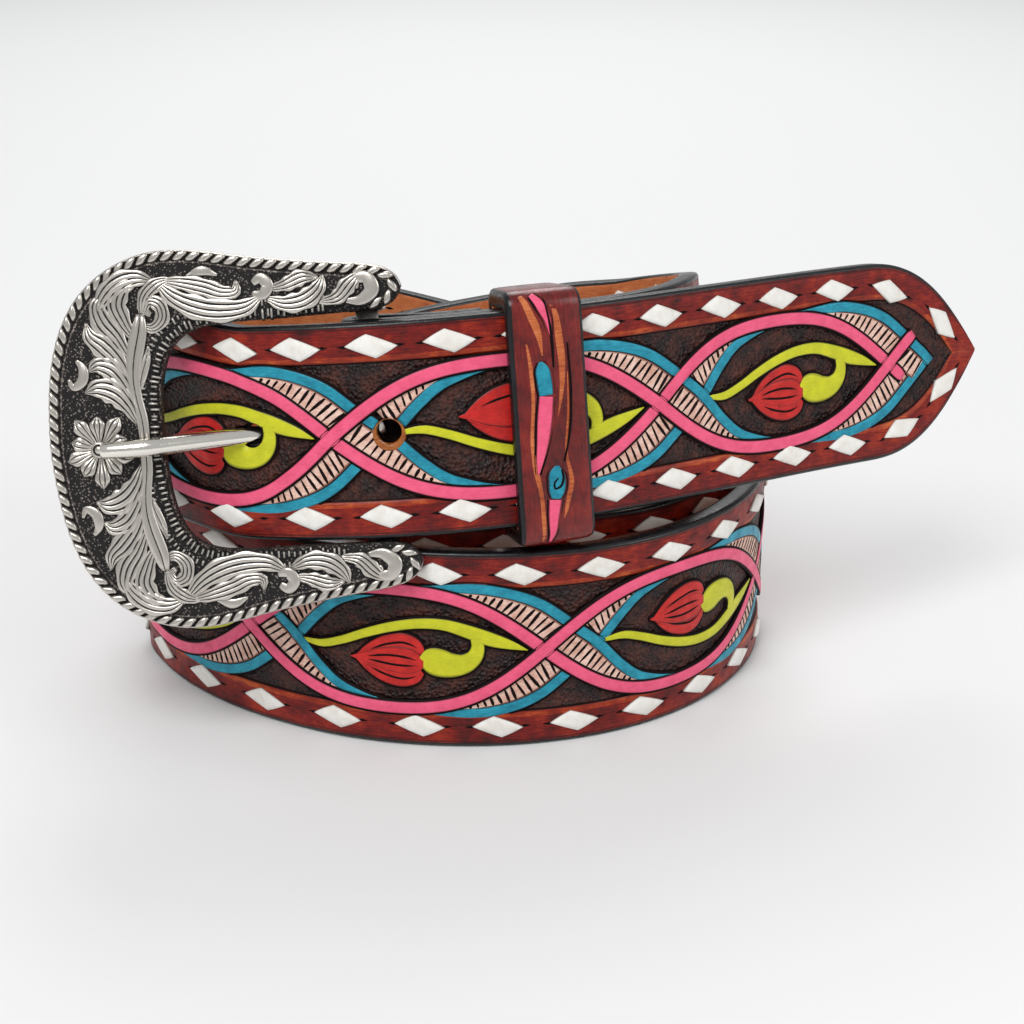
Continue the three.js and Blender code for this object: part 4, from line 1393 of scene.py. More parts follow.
class Scatter:
    """Geometry Nodes tree that sets a shape on every point of a guide, turned and sized by the guide."""

    def __init__(self, name: str, shape: bpy.types.Object, finish: bpy.types.Material) -> None:
        """Builds the tree for one shape and one finish."""
        tree = bpy.data.node_groups.new(name, "GeometryNodeTree")
        face = tree.interface
        face.new_socket("Guide", in_out="INPUT", socket_type="NodeSocketGeometry")
        for label in ("Length", "Width", "Height"):
            made = face.new_socket(label, in_out="INPUT", socket_type="NodeSocketFloat")
            made.default_value = 1.0
        face.new_socket("Result", in_out="OUTPUT", socket_type="NodeSocketGeometry")
        add = tree.nodes.new
        source, target = add("NodeGroupInput"), add("NodeGroupOutput")
        info = add("GeometryNodeObjectInfo")
        info.inputs["Object"].default_value = shape
        size = add("ShaderNodeCombineXYZ")
        stretch = add("GeometryNodeTransform")
        turn, own = add("GeometryNodeInputNamedAttribute"), add("GeometryNodeInputNamedAttribute")
        for node, label in ((turn, "turn"), (own, "own_size")):
            node.data_type = "FLOAT_VECTOR"
            node.inputs["Name"].default_value = label
        place = add("GeometryNodeInstanceOnPoints")
        real, paint = add("GeometryNodeRealizeInstances"), add("GeometryNodeSetMaterial")
        paint.inputs["Material"].default_value = finish
        link = tree.links.new
        for k, label in enumerate(("Length", "Width", "Height")):
            link(source.outputs[label], size.inputs[k])
        link(info.outputs["Geometry"], stretch.inputs["Geometry"])
        link(size.outputs["Vector"], stretch.inputs["Scale"])
        link(stretch.outputs["Geometry"], place.inputs["Instance"])
        link(source.outputs["Guide"], place.inputs["Points"])
        link(turn.outputs["Attribute"], place.inputs["Rotation"])
        link(own.outputs["Attribute"], place.inputs["Scale"])
        link(place.outputs["Instances"], real.inputs["Geometry"])
        link(real.outputs["Geometry"], paint.inputs["Geometry"])
        link(paint.outputs["Geometry"], target.inputs[0])
        self.tree = tree
        self.shape = shape

    def run(
        self,
        name: str,
        places: Values,
        axes: Sequence[tuple[Values, Values, Values]],
        size: tuple[float, float, float],
        own: Values | None = None,
    ) -> bpy.types.Object:
        """Sets the shape at every place and turns the result into a plain mesh.

        Args:
            name: Name of the piece.
            places: Points in millimetres.
            axes: The shape's own X, Y and Z directions at each place.
            size: Length, width and height in millimetres.
            own: Size of each copy as a share of that size.

        Returns:
            The finished object.
        """
        guide = bpy.data.meshes.new(name + "_guide")
        guide.from_pydata((places * MM).tolist(), [], [])
        turns = []
        for x, y, z in axes:
            turns.extend(Matrix((x, y, z)).transposed().to_euler("XYZ"))
        shares = np.ones((len(places), 3)) if own is None else own
        for label, values in (("turn", np.array(turns)), ("own_size", shares.ravel())):
            layer = guide.attributes.new(label, "FLOAT_VECTOR", "POINT")
            layer.data.foreach_set("vector", values.astype(np.float32))
        piece = bpy.data.objects.new(name, guide)
        bpy.context.scene.collection.objects.link(piece)
        change = piece.modifiers.new("scatter", "NODES")
        change.node_group = self.tree
        sockets = {i.name: i.identifier for i in self.tree.interface.items_tree if i.in_out == "INPUT"}
        for label, value in zip(("Length", "Width", "Height"), size):
            change[sockets[label]] = value
        settle(piece)
        for label in ("turn", "own_size"):
            if label in piece.data.attributes:
                piece.data.attributes.remove(piece.data.attributes[label])
        piece.data.polygons.foreach_set("use_smooth", [True] * len(piece.data.polygons))
        return piece

    def clear(self) -> None:
        """Removes the shape that was only set out."""
        bpy.data.objects.remove(self.shape)


def layered_shape(name: str, outline: Values,
        layers: Sequence[tuple[float, float, float]]) -> bpy.types.Object:
    """Low mound over an outline, for setting out many times at a size of its own.

    Args:
        name: Name of the shape.
        outline: Corners, rows of x and y.
        layers: Height, share of the outline and relief of each layer, from the foot up.

    Returns:
        The object.
    """
    draft = Draft()
    rows = np.array([[(x * share, y * share, z) for x, y in outline] for z, share, _ in layers])
    relief = np.array([[r] * len(outline) for _, _, r in layers])
    draft.grid(rows, 0, relief)
    return draft.build(name, [Finish.CUT.material()])


@dataclass
class Lacing:
    """White lace through slits along both edges, on the grain and on the flesh side."""

    strap: Strap
    height: float = 14.95
    length: float = 9.3
    width: float = 4.3
    thickness: float = 0.62
    skew: float = 0.16
    start: float = 26.0

    def outline(self) -> Values:
        """Outline of a visible stitch, a slightly skewed lozenge with bowed sides."""
        corners = np.array([(-0.5, 0.03), (-self.skew * 0.5, 0.5), (0.5, -0.03), (self.skew * 0.5, -0.5)])
        rows = []
        for k in range(4):
            a, b = corners[k], corners[(k + 1) % 4]
            for t in (0.0, 0.25, 0.5, 0.75):
                p = a + (b - a) * t
                rows.append(p * (1 + 0.05 * math.sin(math.pi * t)))
        return np.array(rows)[::-1]

    def rows(self, back: bool) -> Values:
        """Distance, height and turn in degrees of the stitches on one side of the strap."""
        st = self.strap
        marks = np.array(LACE_MARKS, float)
        numbers = np.arange(0, marks[-1, 0] + 1) + (0.5 if back else 0.0)
        rows = []
        for column, sign in ((1, 1), (2, -1)):
            far = np.interp(numbers, marks[:, 0], marks[:, column])
            for n, d in zip(numbers, far):
                s = st.length - d
                if s < self.start:
                    continue
                pull = 1.5 if n < 0.7 else 0.0
                rows.append((s, sign * (self.height - pull), -sign * (19 if pull else 0)))
        if not back:
            rows += [(st.length - 8.7, 6.1, -44), (st.length - 8.5, -6.2, 43)]
        return np.array(rows, float)

    def stitches(
        self, data: Values, back: bool, shift: float = 0.0
    ) -> tuple[Values, list[tuple[Values, Values, Values]]]:
        """Places and directions of shapes on the stitches, or shifted along them.

        Args:
            data: Distance, height and turn in degrees of each stitch.
            back: Whether they lie on the flesh side.
            shift: Distance along each stitch from its middle.

        Returns:
            Places and the three directions at each.
        """
        st = self.strap
        data = data.copy()
        turns = np.radians(data[:, 2])
        data[:, 0] += shift * np.cos(turns)
        data[:, 1] += shift * np.sin(turns)
        at, along, across, out = st.frames(data[:, 0])
        flip = -1 if back else 1
        depth = -st.thickness if back else 0.0
        places = at + across * data[:, 1:2] + out * depth
        axes = []
        for i, turn in enumerate(turns):
            x = along[i] * math.cos(turn) + across[i] * math.sin(turn)
            z = out[i] * flip
            axes.append((x, np.cross(z, x), z))
        return places, axes

    def build(self) -> list[bpy.types.Object]:
        """The lace stitches and the slits at their ends."""
        made = []
        slit = np.array([(-1.0, 0.0), (0, 0.5), (1.0, 0), (0, -0.5)])
        lace = Scatter("lace_tree", layered_shape("lace_shape", self.outline(),
                       ((-0.6, 1.0, 0.0), (0.2, 1.0, 0.1), (0.55, 0.94, 0.8), (0.85, 0.72, 1.0),
                       (1.0, 0.35, 1.0))),
                       Finish.LACE.material())
        cuts = Scatter("slit_tree", layered_shape("slit_shape", slit, ((-1.0, 1.0, 0.0), (1.0, 1.0, 0.0))),
                       Finish.CUT.material())
        for back in (False, True):
            label = "back" if back else "front"
            data = self.rows(back)
            places, axes = self.stitches(data, back)
            size = (self.length, self.width, self.thickness)
            made.append(deliver(lace.run(f"lace_{label}", places, axes, size), "leather"))
            reach = self.length / 2 + 0.25
            before, ways = self.stitches(data, back, -reach)
            behind, more = self.stitches(data, back, reach)
            ends = np.concatenate([before, behind])
            made.append(deliver(cuts.run(f"slits_{label}", ends, ways + more, (1.1, 0.55, 0.1)), "leather"))
        lace.clear()
        cuts.clear()
        return made


# Keeper


KEEPER_LINES = (
    ("TAN", (
        Trace(-4.3, 21.8, 1.0), Trace(-2.9, 18.3, 1.5), Trace(-1.5, 14.6, 1.7), Trace(-1.2, 11.2, 0.5),
    )),
    ("TAN", (
        Trace(-0.3, 21.8, 1.4), Trace(1.2, 18.3, 2.0), Trace(1.7, 14.0, 2.3), Trace(2.1, 10.6, 1.8),
        Trace(2.0, 6.6, 1.3), Trace(1.2, 2.0, 0.9), Trace(0.2, -3.2, 0.7), Trace(-0.6, -6.8, 0.3),
    )),
    ("TAN", (
        Trace(-3.9, 13.5, 0.3), Trace(-3.4, 9.2, 0.8), Trace(-3.3, 3.7, 0.7), Trace(-3.9, -4.3, 0.8),
        Trace(-3.5, -9.0, 1.1), Trace(-2.9, -12.6, 0.9), Trace(-2.7, -18.0, 0.9), Trace(-2.8, -21.8, 0.8),
    )),
    ("TAN", (
        Trace(3.1, 8.0, 0.2), Trace(2.8, 1.0, 0.5), Trace(2.0, -6.6, 0.6), Trace(2.6, -11.2, 1.0),
        Trace(1.3, -15.8, 1.2), Trace(0.6, -19.0, 1.2), Trace(0.2, -21.8, 0.9),
    )),
    ("PINK", (
        Trace(-2.4, 21.8, 1.1), Trace(-1.0, 19.6, 1.6), Trace(0.0, 17.4, 1.2), Trace(0.4, 14.6, 0.3),
    )),
    ("BLUE", (
        Trace(-1.7, 10.2, 0.6), Trace(-1.5, 9.2, 2.1), Trace(-1.2, 7.0, 2.7), Trace(-1.0, 4.3, 2.5),
    )),
    ("PINK", (
        Trace(-1.0, 4.1, 2.5), Trace(-1.5, 0.3, 2.6), Trace(-2.1, -3.7, 2.1), Trace(-2.8, -7.2, 1.2),
        Trace(-3.2, -9.4, 0.3),
    )),
    ("BLUE", (
        Trace(0.2, -8.2, 0.7), Trace(0.0, -9.4, 2.5), Trace(0.0, -11.2, 3.0), Trace(-0.2, -13.0, 2.6),
        Trace(-0.4, -14.0, 1.6),
    )),
    ("PINK", (
        Trace(-0.5, -14.2, 2.2), Trace(-0.9, -16.9, 1.8), Trace(-1.2, -19.6, 1.2), Trace(-1.6, -21.8, 0.4),
    )),
)
KEEPER_CUTS = (
    (
        Trace(0.9, -9.0, 0.4), Trace(1.1, -10.6, 0.5), Trace(0.4, -12.0, 0.5), Trace(-0.4, -12.2, 0.4),
        Trace(-0.5, -11.2, 0.4), Trace(0.2, -10.4, 0.3),
    ),
    (
        Trace(-0.4, 20.8, 0.3), Trace(0.3, 17.0, 0.5), Trace(0.6, 13.0, 0.6), Trace(0.6, 9.0, 0.3),
    ),
    (
        Trace(3.4, 13.0, 0.2), Trace(3.5, 5.0, 0.4), Trace(2.7, -3.0, 0.4), Trace(1.5, -7.6, 0.3),
    ),
)


@dataclass
class Keeper:
    """Leather loop round both plies, with a carved and painted stem on its front."""

    strap: Strap
    wall: float = 3.0
    back_wall: float = 2.2
    clearance: float = 0.35
    edge: float = 0.75

    def wrap(self, svw: Values) -> Values:
        """Points of the keeper's flat front, carried over its rounded edges, as points of the part."""
        svw = np.array(svw, float)
        top = self.strap.half + self.clearance
        beyond = np.clip(np.abs(svw[:, 1]) - top, 0, None)
        angle = beyond / self.wall
        high = svw[:, 2] - self.clearance
        bent = np.sign(svw[:, 1]) * (top + high * np.sin(angle))
        svw[:, 1] = np.where(beyond > 0, bent, svw[:, 1])
        svw[:, 2] = np.where(beyond > 0, self.clearance + high * np.cos(angle), svw[:, 2])
        return self.strap.place(svw)

    def build(self) -> list[bpy.types.Object]:
        """The loop and its painted stem."""
        st = self.strap
        middle = st.length - st.keeper_from_tip
        top = st.half + self.clearance
        back = -(2 * st.thickness + st.ply_gap + self.clearance)
        half = st.keeper_width / 2
        ring = []
        corners = ((top, self.clearance, 0), (-top, self.clearance, 1), (-top, back, 2), (top, back, 3))
        for v, w, quarter in corners:
            for i in range(9):
                a = math.pi / 2 * (quarter + i / 8)
                ring.append((v, w, math.cos(a), math.sin(a)))
            if quarter in (0, 2):
                sign = 1 if quarter == 0 else -1
                ring += [(sign * top * (1 - 2 * i / 12), w, 0.0, float(sign)) for i in range(1, 12)]
        rows = ((-half, 0.25), (-half, 0.78), (-half + 0.25, 0.93), (-half + self.edge, 1.0),
            (-half * 0.72, 1.03),
                (0, 1.05), (half * 0.72, 1.03), (half - self.edge, 1.0), (half - 0.25, 0.93), (half, 0.78),
                (half, 0.25), (half - 0.2, 0.0), (0, 0.0), (-half + 0.2, 0.0))
        kinds = [1, 1, 1, 0, 0, 0, 0, 1, 1, 1, 1, 2, 2, 1]
        mesh = np.empty((len(ring), len(rows), 3))
        for i, (v, w, nv, nw) in enumerate(ring):
            thick = self.wall if nw > -0.01 else self.wall + (self.back_wall - self.wall) * abs(nw)
            for j, (a, h) in enumerate(rows):
                mesh[i, j] = (middle + a, v + nv * thick * h, w + nw * thick * h)
        draft = Draft()
        chart = np.stack([mesh[..., 1] + mesh[..., 2], mesh[..., 0] - middle], 2)
        draft.grid(mesh, kinds, None, chart, ring=True)
        looks = [Finish.KEEPER.material(), Finish.EDGE.material(), Finish.FLESH.material()]
        loop = draft.build("keeper_loop", looks, st.place)
        made = [deliver(loop, "keeper_leather", "keeper")]
        level = self.clearance + self.wall * 1.05
        for finish in (Finish.PINK, Finish.BLUE, Finish.TAN):
            paint = Draft()
            for name, lines in KEEPER_LINES:
                if name == finish.name:
                    flat = np.array([(middle + r.along, r.across, r.width) for r in lines])
                    line = curve_through(flat, 40)
                    lift = -0.08 if name == "TAN" else 0.05
                    lay_ribbon(paint, line[:, :2], np.clip(line[:, 2], 0.2, None), level + lift)
            if finish is Finish.BLUE:
                for lines in KEEPER_CUTS:
                    line = curve_through(np.array([(middle + r.along, r.across, r.width) for r in lines]),
                        30)
                    side = normals_of(line[:, :2]) * (line[:, 2:] / 2)
                    rows = [np.hstack([line[:, :2] + side * k, np.full((30, 1), level + z)])
                            for k, z in ((-1, -0.3), (-0.8, 0.13), (0.8, 0.13), (1, -0.3))]
                    paint.grid(np.stack(rows, 1), 1, np.zeros((30, 4)))
            piece = paint.build(f"keeper_{finish.name.lower()}", [finish.material(), Finish.CUT.material()],
                self.wrap)
            made.append(deliver(piece, "keeper_leather"))
        return made


# Buckle


class Leaf(NamedTuple):
    """Cast leaf or curl on the buckle: number of flutes across it and its line, in the frame's plane."""

    flutes: int
    line: tuple[Trace, ...]


LEAVES = (
    Leaf(2, (
        Trace(-18.2, -0.6, 1.4), Trace(-18.3, 4.4, 1.7), Trace(-18.9, 8.2, 1.7), Trace(-19.1, 11.4, 1.9),
        Trace(-18.7, 14.6, 2.3), Trace(-17.9, 17.7, 2.5), Trace(-17.2, 20.2, 2.2), Trace(-16.9, 22.6, 1.2),
    )),
    Leaf(4, (
        Trace(-16.7, 22.6, 0.8), Trace(-15.9, 25.4, 1.9), Trace(-13.6, 27.5, 2.0), Trace(-10.8, 28.3, 0.4),
    )),
    Leaf(4, (
        Trace(-24.6, 21.4, 0.4), Trace(-23.4, 25.2, 2.2), Trace(-20.4, 28.0, 3.2), Trace(-17.0, 28.8, 2.6),
        Trace(-13.8, 28.0, 0.4),
    )),
    Leaf(2, (
        Trace(-18.4, 9.0, 0.5), Trace(-17.5, 12.2, 1.5), Trace(-16.6, 14.6, 1.3), Trace(-16.0, 17.0, 0.3),
    )),
    Leaf(4, (
        Trace(-19.1, 3.6, 0.8), Trace(-20.4, 6.8, 2.6), Trace(-22.7, 9.4, 3.6), Trace(-25.6, 10.3, 2.8),
        Trace(-28.0, 9.6, 0.3),
    )),
    Leaf(4, (
        Trace(-19.3, 6.8, 0.8), Trace(-20.9, 10.9, 2.6), Trace(-23.1, 13.6, 3.2), Trace(-25.4, 14.2, 2.2),
        Trace(-27.0, 13.2, 0.3),
    )),
    Leaf(4, (
        Trace(-19.4, 10.6, 0.8), Trace(-21.6, 14.7, 2.6), Trace(-24.1, 17.6, 3.2), Trace(-26.0, 19.4, 2.2),
        Trace(-26.6, 21.8, 0.3),
    )),
    Leaf(4, (
        Trace(-19.1, 14.3, 0.8), Trace(-21.4, 18.8, 2.6), Trace(-23.6, 21.9, 3.2), Trace(-24.2, 24.4, 2.4),
        Trace(-22.8, 26.8, 0.3),
    )),
    Leaf(4, (
        Trace(-18.0, 17.9, 0.8), Trace(-19.9, 21.6, 2.4), Trace(-20.8, 24.6, 3.0), Trace(-19.3, 27.3, 2.4),
        Trace(-16.0, 28.4, 0.3),
    )),
    Leaf(1, (
        Trace(-28.9, 15.4, 0.5), Trace(-27.9, 13.9, 1.3), Trace(-28.2, 11.7, 1.5), Trace(-29.9, 10.8, 1.0),
        Trace(-30.6, 12.2, 0.4),
    )),
    Leaf(4, (
        Trace(-17.0, 20.6, 0.6), Trace(-14.9, 20.0, 1.6), Trace(-13.0, 21.6, 2.1), Trace(-13.4, 24.0, 2.1),
        Trace(-15.3, 24.6, 1.6), Trace(-16.0, 23.2, 1.1), Trace(-15.0, 22.3, 0.8),
    )),
    Leaf(4, (
        Trace(-13.4, 27.6, 0.9), Trace(-10.6, 24.9, 2.6), Trace(-6.6, 22.9, 3.4), Trace(-2.0, 22.1, 3.2),
        Trace(1.9, 22.5, 2.4), Trace(4.8, 24.3, 0.4),
    )),
    Leaf(4, (
        Trace(-12.4, 28.0, 0.8), Trace(-8.6, 27.3, 2.2), Trace(-5.0, 26.3, 2.6), Trace(-2.0, 25.2, 2.2),
        Trace(0.2, 25.4, 1.6), Trace(0.3, 27.2, 0.4),
    )),
    Leaf(1, (
        Trace(-8.2, 28.4, 0.5), Trace(-5.4, 29.2, 1.4), Trace(-2.8, 28.3, 0.4),
    )),
    Leaf(1, (
        Trace(3.0, 24.6, 0.8), Trace(4.8, 24.4, 1.6), Trace(5.8, 25.9, 1.7), Trace(4.6, 27.2, 1.5),
        Trace(3.2, 26.4, 0.9),
    )),
    Leaf(4, (
        Trace(5.4, 23.6, 0.8), Trace(8.6, 22.5, 2.4), Trace(12.2, 23.0, 2.9), Trace(14.6, 24.9, 2.2),
        Trace(15.5, 27.0, 0.3),
    )),
    Leaf(4, (
        Trace(6.0, 25.2, 0.7), Trace(9.0, 25.8, 2.0), Trace(11.9, 26.8, 2.3), Trace(14.6, 26.6, 0.4),
    )),
    Leaf(4, (
        Trace(14.2, 22.3, 0.6), Trace(17.8, 23.0, 2.2), Trace(19.8, 25.0, 2.4), Trace(22.2, 27.0, 0.4),
    )),
    Leaf(1, (
        Trace(19.0, 22.2, 0.7), Trace(21.9, 22.2, 1.7), Trace(23.8, 24.0, 2.1), Trace(22.8, 26.0, 1.8),
        Trace(21.0, 25.6, 1.4), Trace(21.0, 24.1, 0.8),
    )),
)


class Rim(NamedTuple):
    """Corner of the cast frame's section: edge it is measured from, distance, height, relief, finish."""

    inner: bool
    reach: float
    rise: float
    relief: float
    finish: int


FRAME_RIMS = (
    Rim(False, 0.0, -1.8, 0.5, 0),
    Rim(False, 0.0, 0.5, 1.0, 0),
    Rim(False, 0.12, 0.82, 1.0, 0),
    Rim(False, 0.3, 0.9, 0.6, 1),
    Rim(False, 0.42, 0.75, -0.6, 1),
    Rim(False, 1.9, 0.7, -0.6, 1),
    Rim(False, 2.1, 0.95, 0.1, 1),
    Rim(False, 2.35, 1.0, 0.5, 1),
    Rim(False, 2.6, 0.92, -0.1, 1),
    Rim(False, 4.2, 1.1, 0.0, 1),
    Rim(True, 3.6, 1.1, 0.0, 1),
    Rim(True, 1.6, 0.95, -0.2, 1),
    Rim(True, 0.5, 0.75, 0.0, 1),
    Rim(True, 0.1, 0.4, 0.3, 1),
    Rim(True, 0.0, 0.1, 0.2, 1),
    Rim(True, 0.0, -1.8, 0.1, 1),
)


# Share of a petal's length and its width there; the eye's radius, height and relief
PETAL = ((0.14, 0.4), (0.4, 1.1), (0.62, 1.9), (0.8, 2.2), (0.93, 1.3), (1.02, 0.2))
FLOWER_EYE = (
    (1.55, 0.5, 0), (1.5, 1.9, 0.6), (1.2, 2.25, 1.2), (0.95, 2.2, 0.2), (0.75, 2.1, 0.0), (0.6, 2.35, 1.0),
    (0.2, 2.45, 1.2),
)


@dataclass
class Buckle:
    """Cast horseshoe buckle: frame with rope edge, leaf scrolls and flower, bar and tongue."""

    strap: Strap
    reach: float = 35.3
    window_clearance: float = 1.0
    back_depth: float = 1.8
    front_height: float = 2.4
    proud: float = 1.7
    yaw: float = 20.77
    roll: float = -1.21
    lean: float = 6.76
    rope_pitch: float = 2.25
    rope_inset: float = 1.0
    leaf_base: float = 0.95
    leaf_height: float = 0.85
    leaf_spread: float = 1.28
    lobe_depth: float = 0.2
    flower_reach: float = 26.3
    flower_drop: float = 0.4
    petals: int = 10
    petal_length: float = 5.6
    petal_rise: float = 1.2
    short_petal: float = 0.84
    lug_width: float = 5.2
    lug_height: float = 0.8
    tongue_radius: float = 1.6
    tongue_tip: float = 25.3
    tongue_bend: float = 17.0
    tongue_dive: float = 6.6
    tongue_lift: float = 0.4
    tongue_rise: float = 1.3
    sleeve_width: float = 4.6
    slot_clearance: float = 0.35
    rib_stop: float = 16.0

    def __post_init__(self) -> None:
        """Sets the frame's own directions from the strap at the tongue's hole."""
        st = self.strap
        run = st.length - st.first_hole - 2 * st.hole_spacing
        at, along, _, out = (v[0] for v in st.frames(np.array([run])))
        heading = math.atan2(along[1], along[0]) + math.radians(self.yaw)
        climb = math.asin(along[2]) + math.radians(self.roll)
        tilt = math.asin(out[2]) + math.radians(self.lean)
        self.right = np.array([math.cos(climb) * math.cos(heading), math.cos(climb) * math.sin(heading),
            math.sin(climb)])
        up = np.array([0.0, math.sin(tilt), math.cos(tilt)])
        up -= self.right * up.dot(self.right)
        self.up = up / np.linalg.norm(up)
        self.out = np.cross(self.right, self.up)
        self.origin = at + self.out * self.proud
        at0, _, across0, out0 = (v[0] for v in st.frames(np.array([0.0])))
        self.bar = at0 - out0 * (st.bar_radius + st.bar_clearance + st.fold_thickness)
        self.bar_way = across0

    def place(self, xyz: Values) -> Values:
        """Points given right, up and out of the frame, as points of the part."""
        xyz = np.asarray(xyz, float)
        return self.origin + xyz[:, :1] * self.right + xyz[:, 1:2] * self.up + xyz[:, 2:3] * self.out

    def inside(self, point: Values) -> Values:
        """A point of the part, given right, up and out of the frame."""
        d = point - self.origin
        return np.array([d.dot(self.right), d.dot(self.up), d.dot(self.out)])

    def outline(self, count: int) -> Values:
        """Outer and window edge of the whole frame, from the lower arm's end to the upper's."""
        window = self.strap.half + self.window_clearance
        upper = np.array(FRAME_SECTIONS) * (self.reach, window, self.reach, window)
        lower = upper[:0:-1] * (1, -1, 1, -1)
        return curve_through(np.concatenate([lower, upper]), count)

    def frame(self) -> bpy.types.Object:
        """The cast body with its lugs and bar."""
        rows = self.outline(190)
        outer, inner = rows[:, :2], rows[:, 2:]
        width = np.linalg.norm(inner - outer, axis=1)
        way = (inner - outer) / width[:, None]
        fit = np.clip(width / 8.4, 0.0, 1.0)
        mesh = np.empty((len(rows), len(FRAME_RIMS), 3))
        for j, r in enumerate(FRAME_RIMS):
            reach = r.reach * fit
            flat = inner - way * reach[:, None] if r.inner else outer + way * reach[:, None]
            mesh[:, j, :2] = flat
            rise = r.rise if r.rise < 0 else r.rise * (0.55 + 0.45 * fit)
            mesh[:, j, 2] = rise
        draft = Draft()
        relief = np.tile([r.relief for r in FRAME_RIMS], (len(rows), 1))
        draft.grid(mesh, [r.finish for r in FRAME_RIMS], relief)
        window = self.strap.half + self.window_clearance
        lean = self.bar_way.dot(self.up)
        for sign in (-1, 1):
            end = self.inside(self.bar + self.bar_way * ((sign * window - self.inside(self.bar)[1]) / lean))
            low, high = end[2] - self.strap.bar_radius - 0.5, self.leaf_base - self.back_depth
            block = []
            for z, grow in ((low, 0.8), (low + 0.4, 1.0), (high, 1.0)):
                half = self.lug_width / 2 * grow
                a, b = window + 0.1, window + 0.1 + self.lug_height
                block.append([(end[0] - half, sign * a, z), (end[0] + half, sign * a, z),
                              (end[0] + half, sign * b, z), (end[0] - half, sign * b, z)])
            draft.grid(np.array(block), 1, np.full((3, 4), 0.0))
        turn = np.linspace(0, 2 * np.pi, 24, endpoint=False)
        rings = []
        for sign in (-1, 1):
            reach = sign * (window + 0.1 + self.lug_height / 2)
            middle = self.inside(self.bar + self.bar_way * ((reach - self.inside(self.bar)[1]) / lean))
            radius = self.strap.bar_radius
            rings.append([(middle[0] + radius * math.cos(a), middle[1],
                middle[2] + radius * math.sin(a)) for a in turn])
        draft.grid(np.array(rings), 0, np.full((2, 24), 0.6))
        piece = draft.build("buckle_body", [Finish.CAST.material(), Finish.GROUND.material()], self.place)
        return deliver(piece, "cast_silver", "buckle_frame")

    def bead(self) -> bpy.types.Object:
        """One slanted strand of the rope edge."""
        outline = np.array([(-0.1, -0.5), (0.16, -0.36), (0.7, 0.28), (0.72, 0.46), (0.46, 0.54), (0.1, 0.5),
                            (-0.14, 0.36), (-0.64, -0.3), (-0.62, -0.48), (-0.38, -0.54)])
        layers = ((-0.4, 1.0, 0.3), (0.2, 1.0, 0.5), (0.65, 0.92, 0.9), (0.92, 0.7, 1.2), (1.0, 0.35, 1.3))
        return layered_shape("rope_shape", outline, layers)

    def rope_line(self) -> Values:
        """Middle line of the rope: along the outer edge and round both arms' ends."""
        rows = self.outline(500)
        outer, inner = rows[:, :2], rows[:, 2:]
        lead, tail = inner[:18][::-1], inner[-18:][::-1]
        loop = np.concatenate([lead, outer, tail])
        gaps = np.linalg.norm(np.diff(loop, axis=0), axis=1)
        loop = loop[np.concatenate([[True], gaps > 1e-3])]
        line = loop.copy()
        for _ in range(10):
            line[1:-1] = (line[:-2] + line[1:-1] * 2 + line[2:]) / 4
        return line + normals_of(line) * self.rope_inset * self.turn_sign(line)

    def turn_sign(self, line: Values) -> float:
        """1 where the middle of the frame lies on the left of a line that goes round it, otherwise -1."""
        middle = line.mean(axis=0)
        k = len(line) // 2
        return 1.0 if normals_of(line)[k].dot(middle - line[k]) > 0 else -1.0

    def spread(self, line: Values, pitch: float) -> tuple[Values, Values]:
        """Evenly spaced places along a flat line, with its directions there."""
        run = np.concatenate([[0], np.cumsum(np.linalg.norm(np.diff(line, axis=0), axis=1))])
        count = int(round(run[-1] / pitch))
        at = (np.arange(count) + 0.5) * run[-1] / count
        spots = np.stack([np.interp(at, run, line[:, k]) for k in range(2)], 1)
        ahead = np.stack([np.interp(at + 0.4, run, line[:, k]) for k in range(2)], 1)
        behind = np.stack([np.interp(at - 0.4, run, line[:, k]) for k in range(2)], 1)
        way = ahead - behind
        return spots, way / np.linalg.norm(way, axis=1)[:, None]

    def axes(self, way: Values) -> list[tuple[Values, Values, Values]]:
        """Directions in the part for shapes that lie on the frame and follow a flat direction."""
        made = []
        for a in way:
            x = self.right * a[0] + self.up * a[1]
            made.append((x, np.cross(self.out, x), self.out))
        return made

    def rope(self) -> list[bpy.types.Object]:
        """Rope edge round the frame and short ribs beside the window."""
        rows = self.outline(400)
        outer, inner = rows[:, :2], rows[:, 2:]
        width = np.linalg.norm(inner - outer, axis=1)
        way = (inner - outer) / width[:, None]
        scatter = Scatter("rope_tree", self.bead(), Finish.CAST.material())
        spots, along = self.spread(self.rope_line(), self.rope_pitch)
        places = self.place(np.hstack([spots, np.full((len(spots), 1), 0.7)]))
        strand = scatter.run("rope_edge", places, self.axes(along), (self.rope_pitch * 0.86, 1.75, 0.75))
        scatter.clear()
        rib = np.array([(-0.5, -0.5), (0.5, -0.5), (0.5, 0.5), (-0.5, 0.5)])
        scatter = Scatter("rib_tree", layered_shape("rib_shape", rib,
            ((-0.5, 1.0, 0.0), (0.4, 0.9, 0.2), (1.0, 0.5, 0.66))), Finish.CAST.material())
        near = inner[:, 0] < self.rib_stop
        made = [deliver(strand, "cast_silver")]
        for label, reach, long in (("inner", 1.15, 2.0), ("outer", 3.15, 1.5)):
            use = near & (width > reach + 5.4)
            line = (inner - way * reach)[use]
            spots, along = self.spread(line, 0.98)
            seed = np.random.default_rng(5)
            spots = spots + seed.normal(0, 0.12, spots.shape)
            places = self.place(np.hstack([spots, np.full((len(spots), 1), 0.9)]))
            own = np.stack([np.ones(len(spots)), seed.uniform(0.7, 1.25, len(spots)), np.ones(len(spots))],
                1)
            made.append(deliver(scatter.run(f"window_ribs_{label}", places, self.axes(along),
                (0.52, long, 0.5), own), "cast_silver"))
        scatter.clear()
        return made

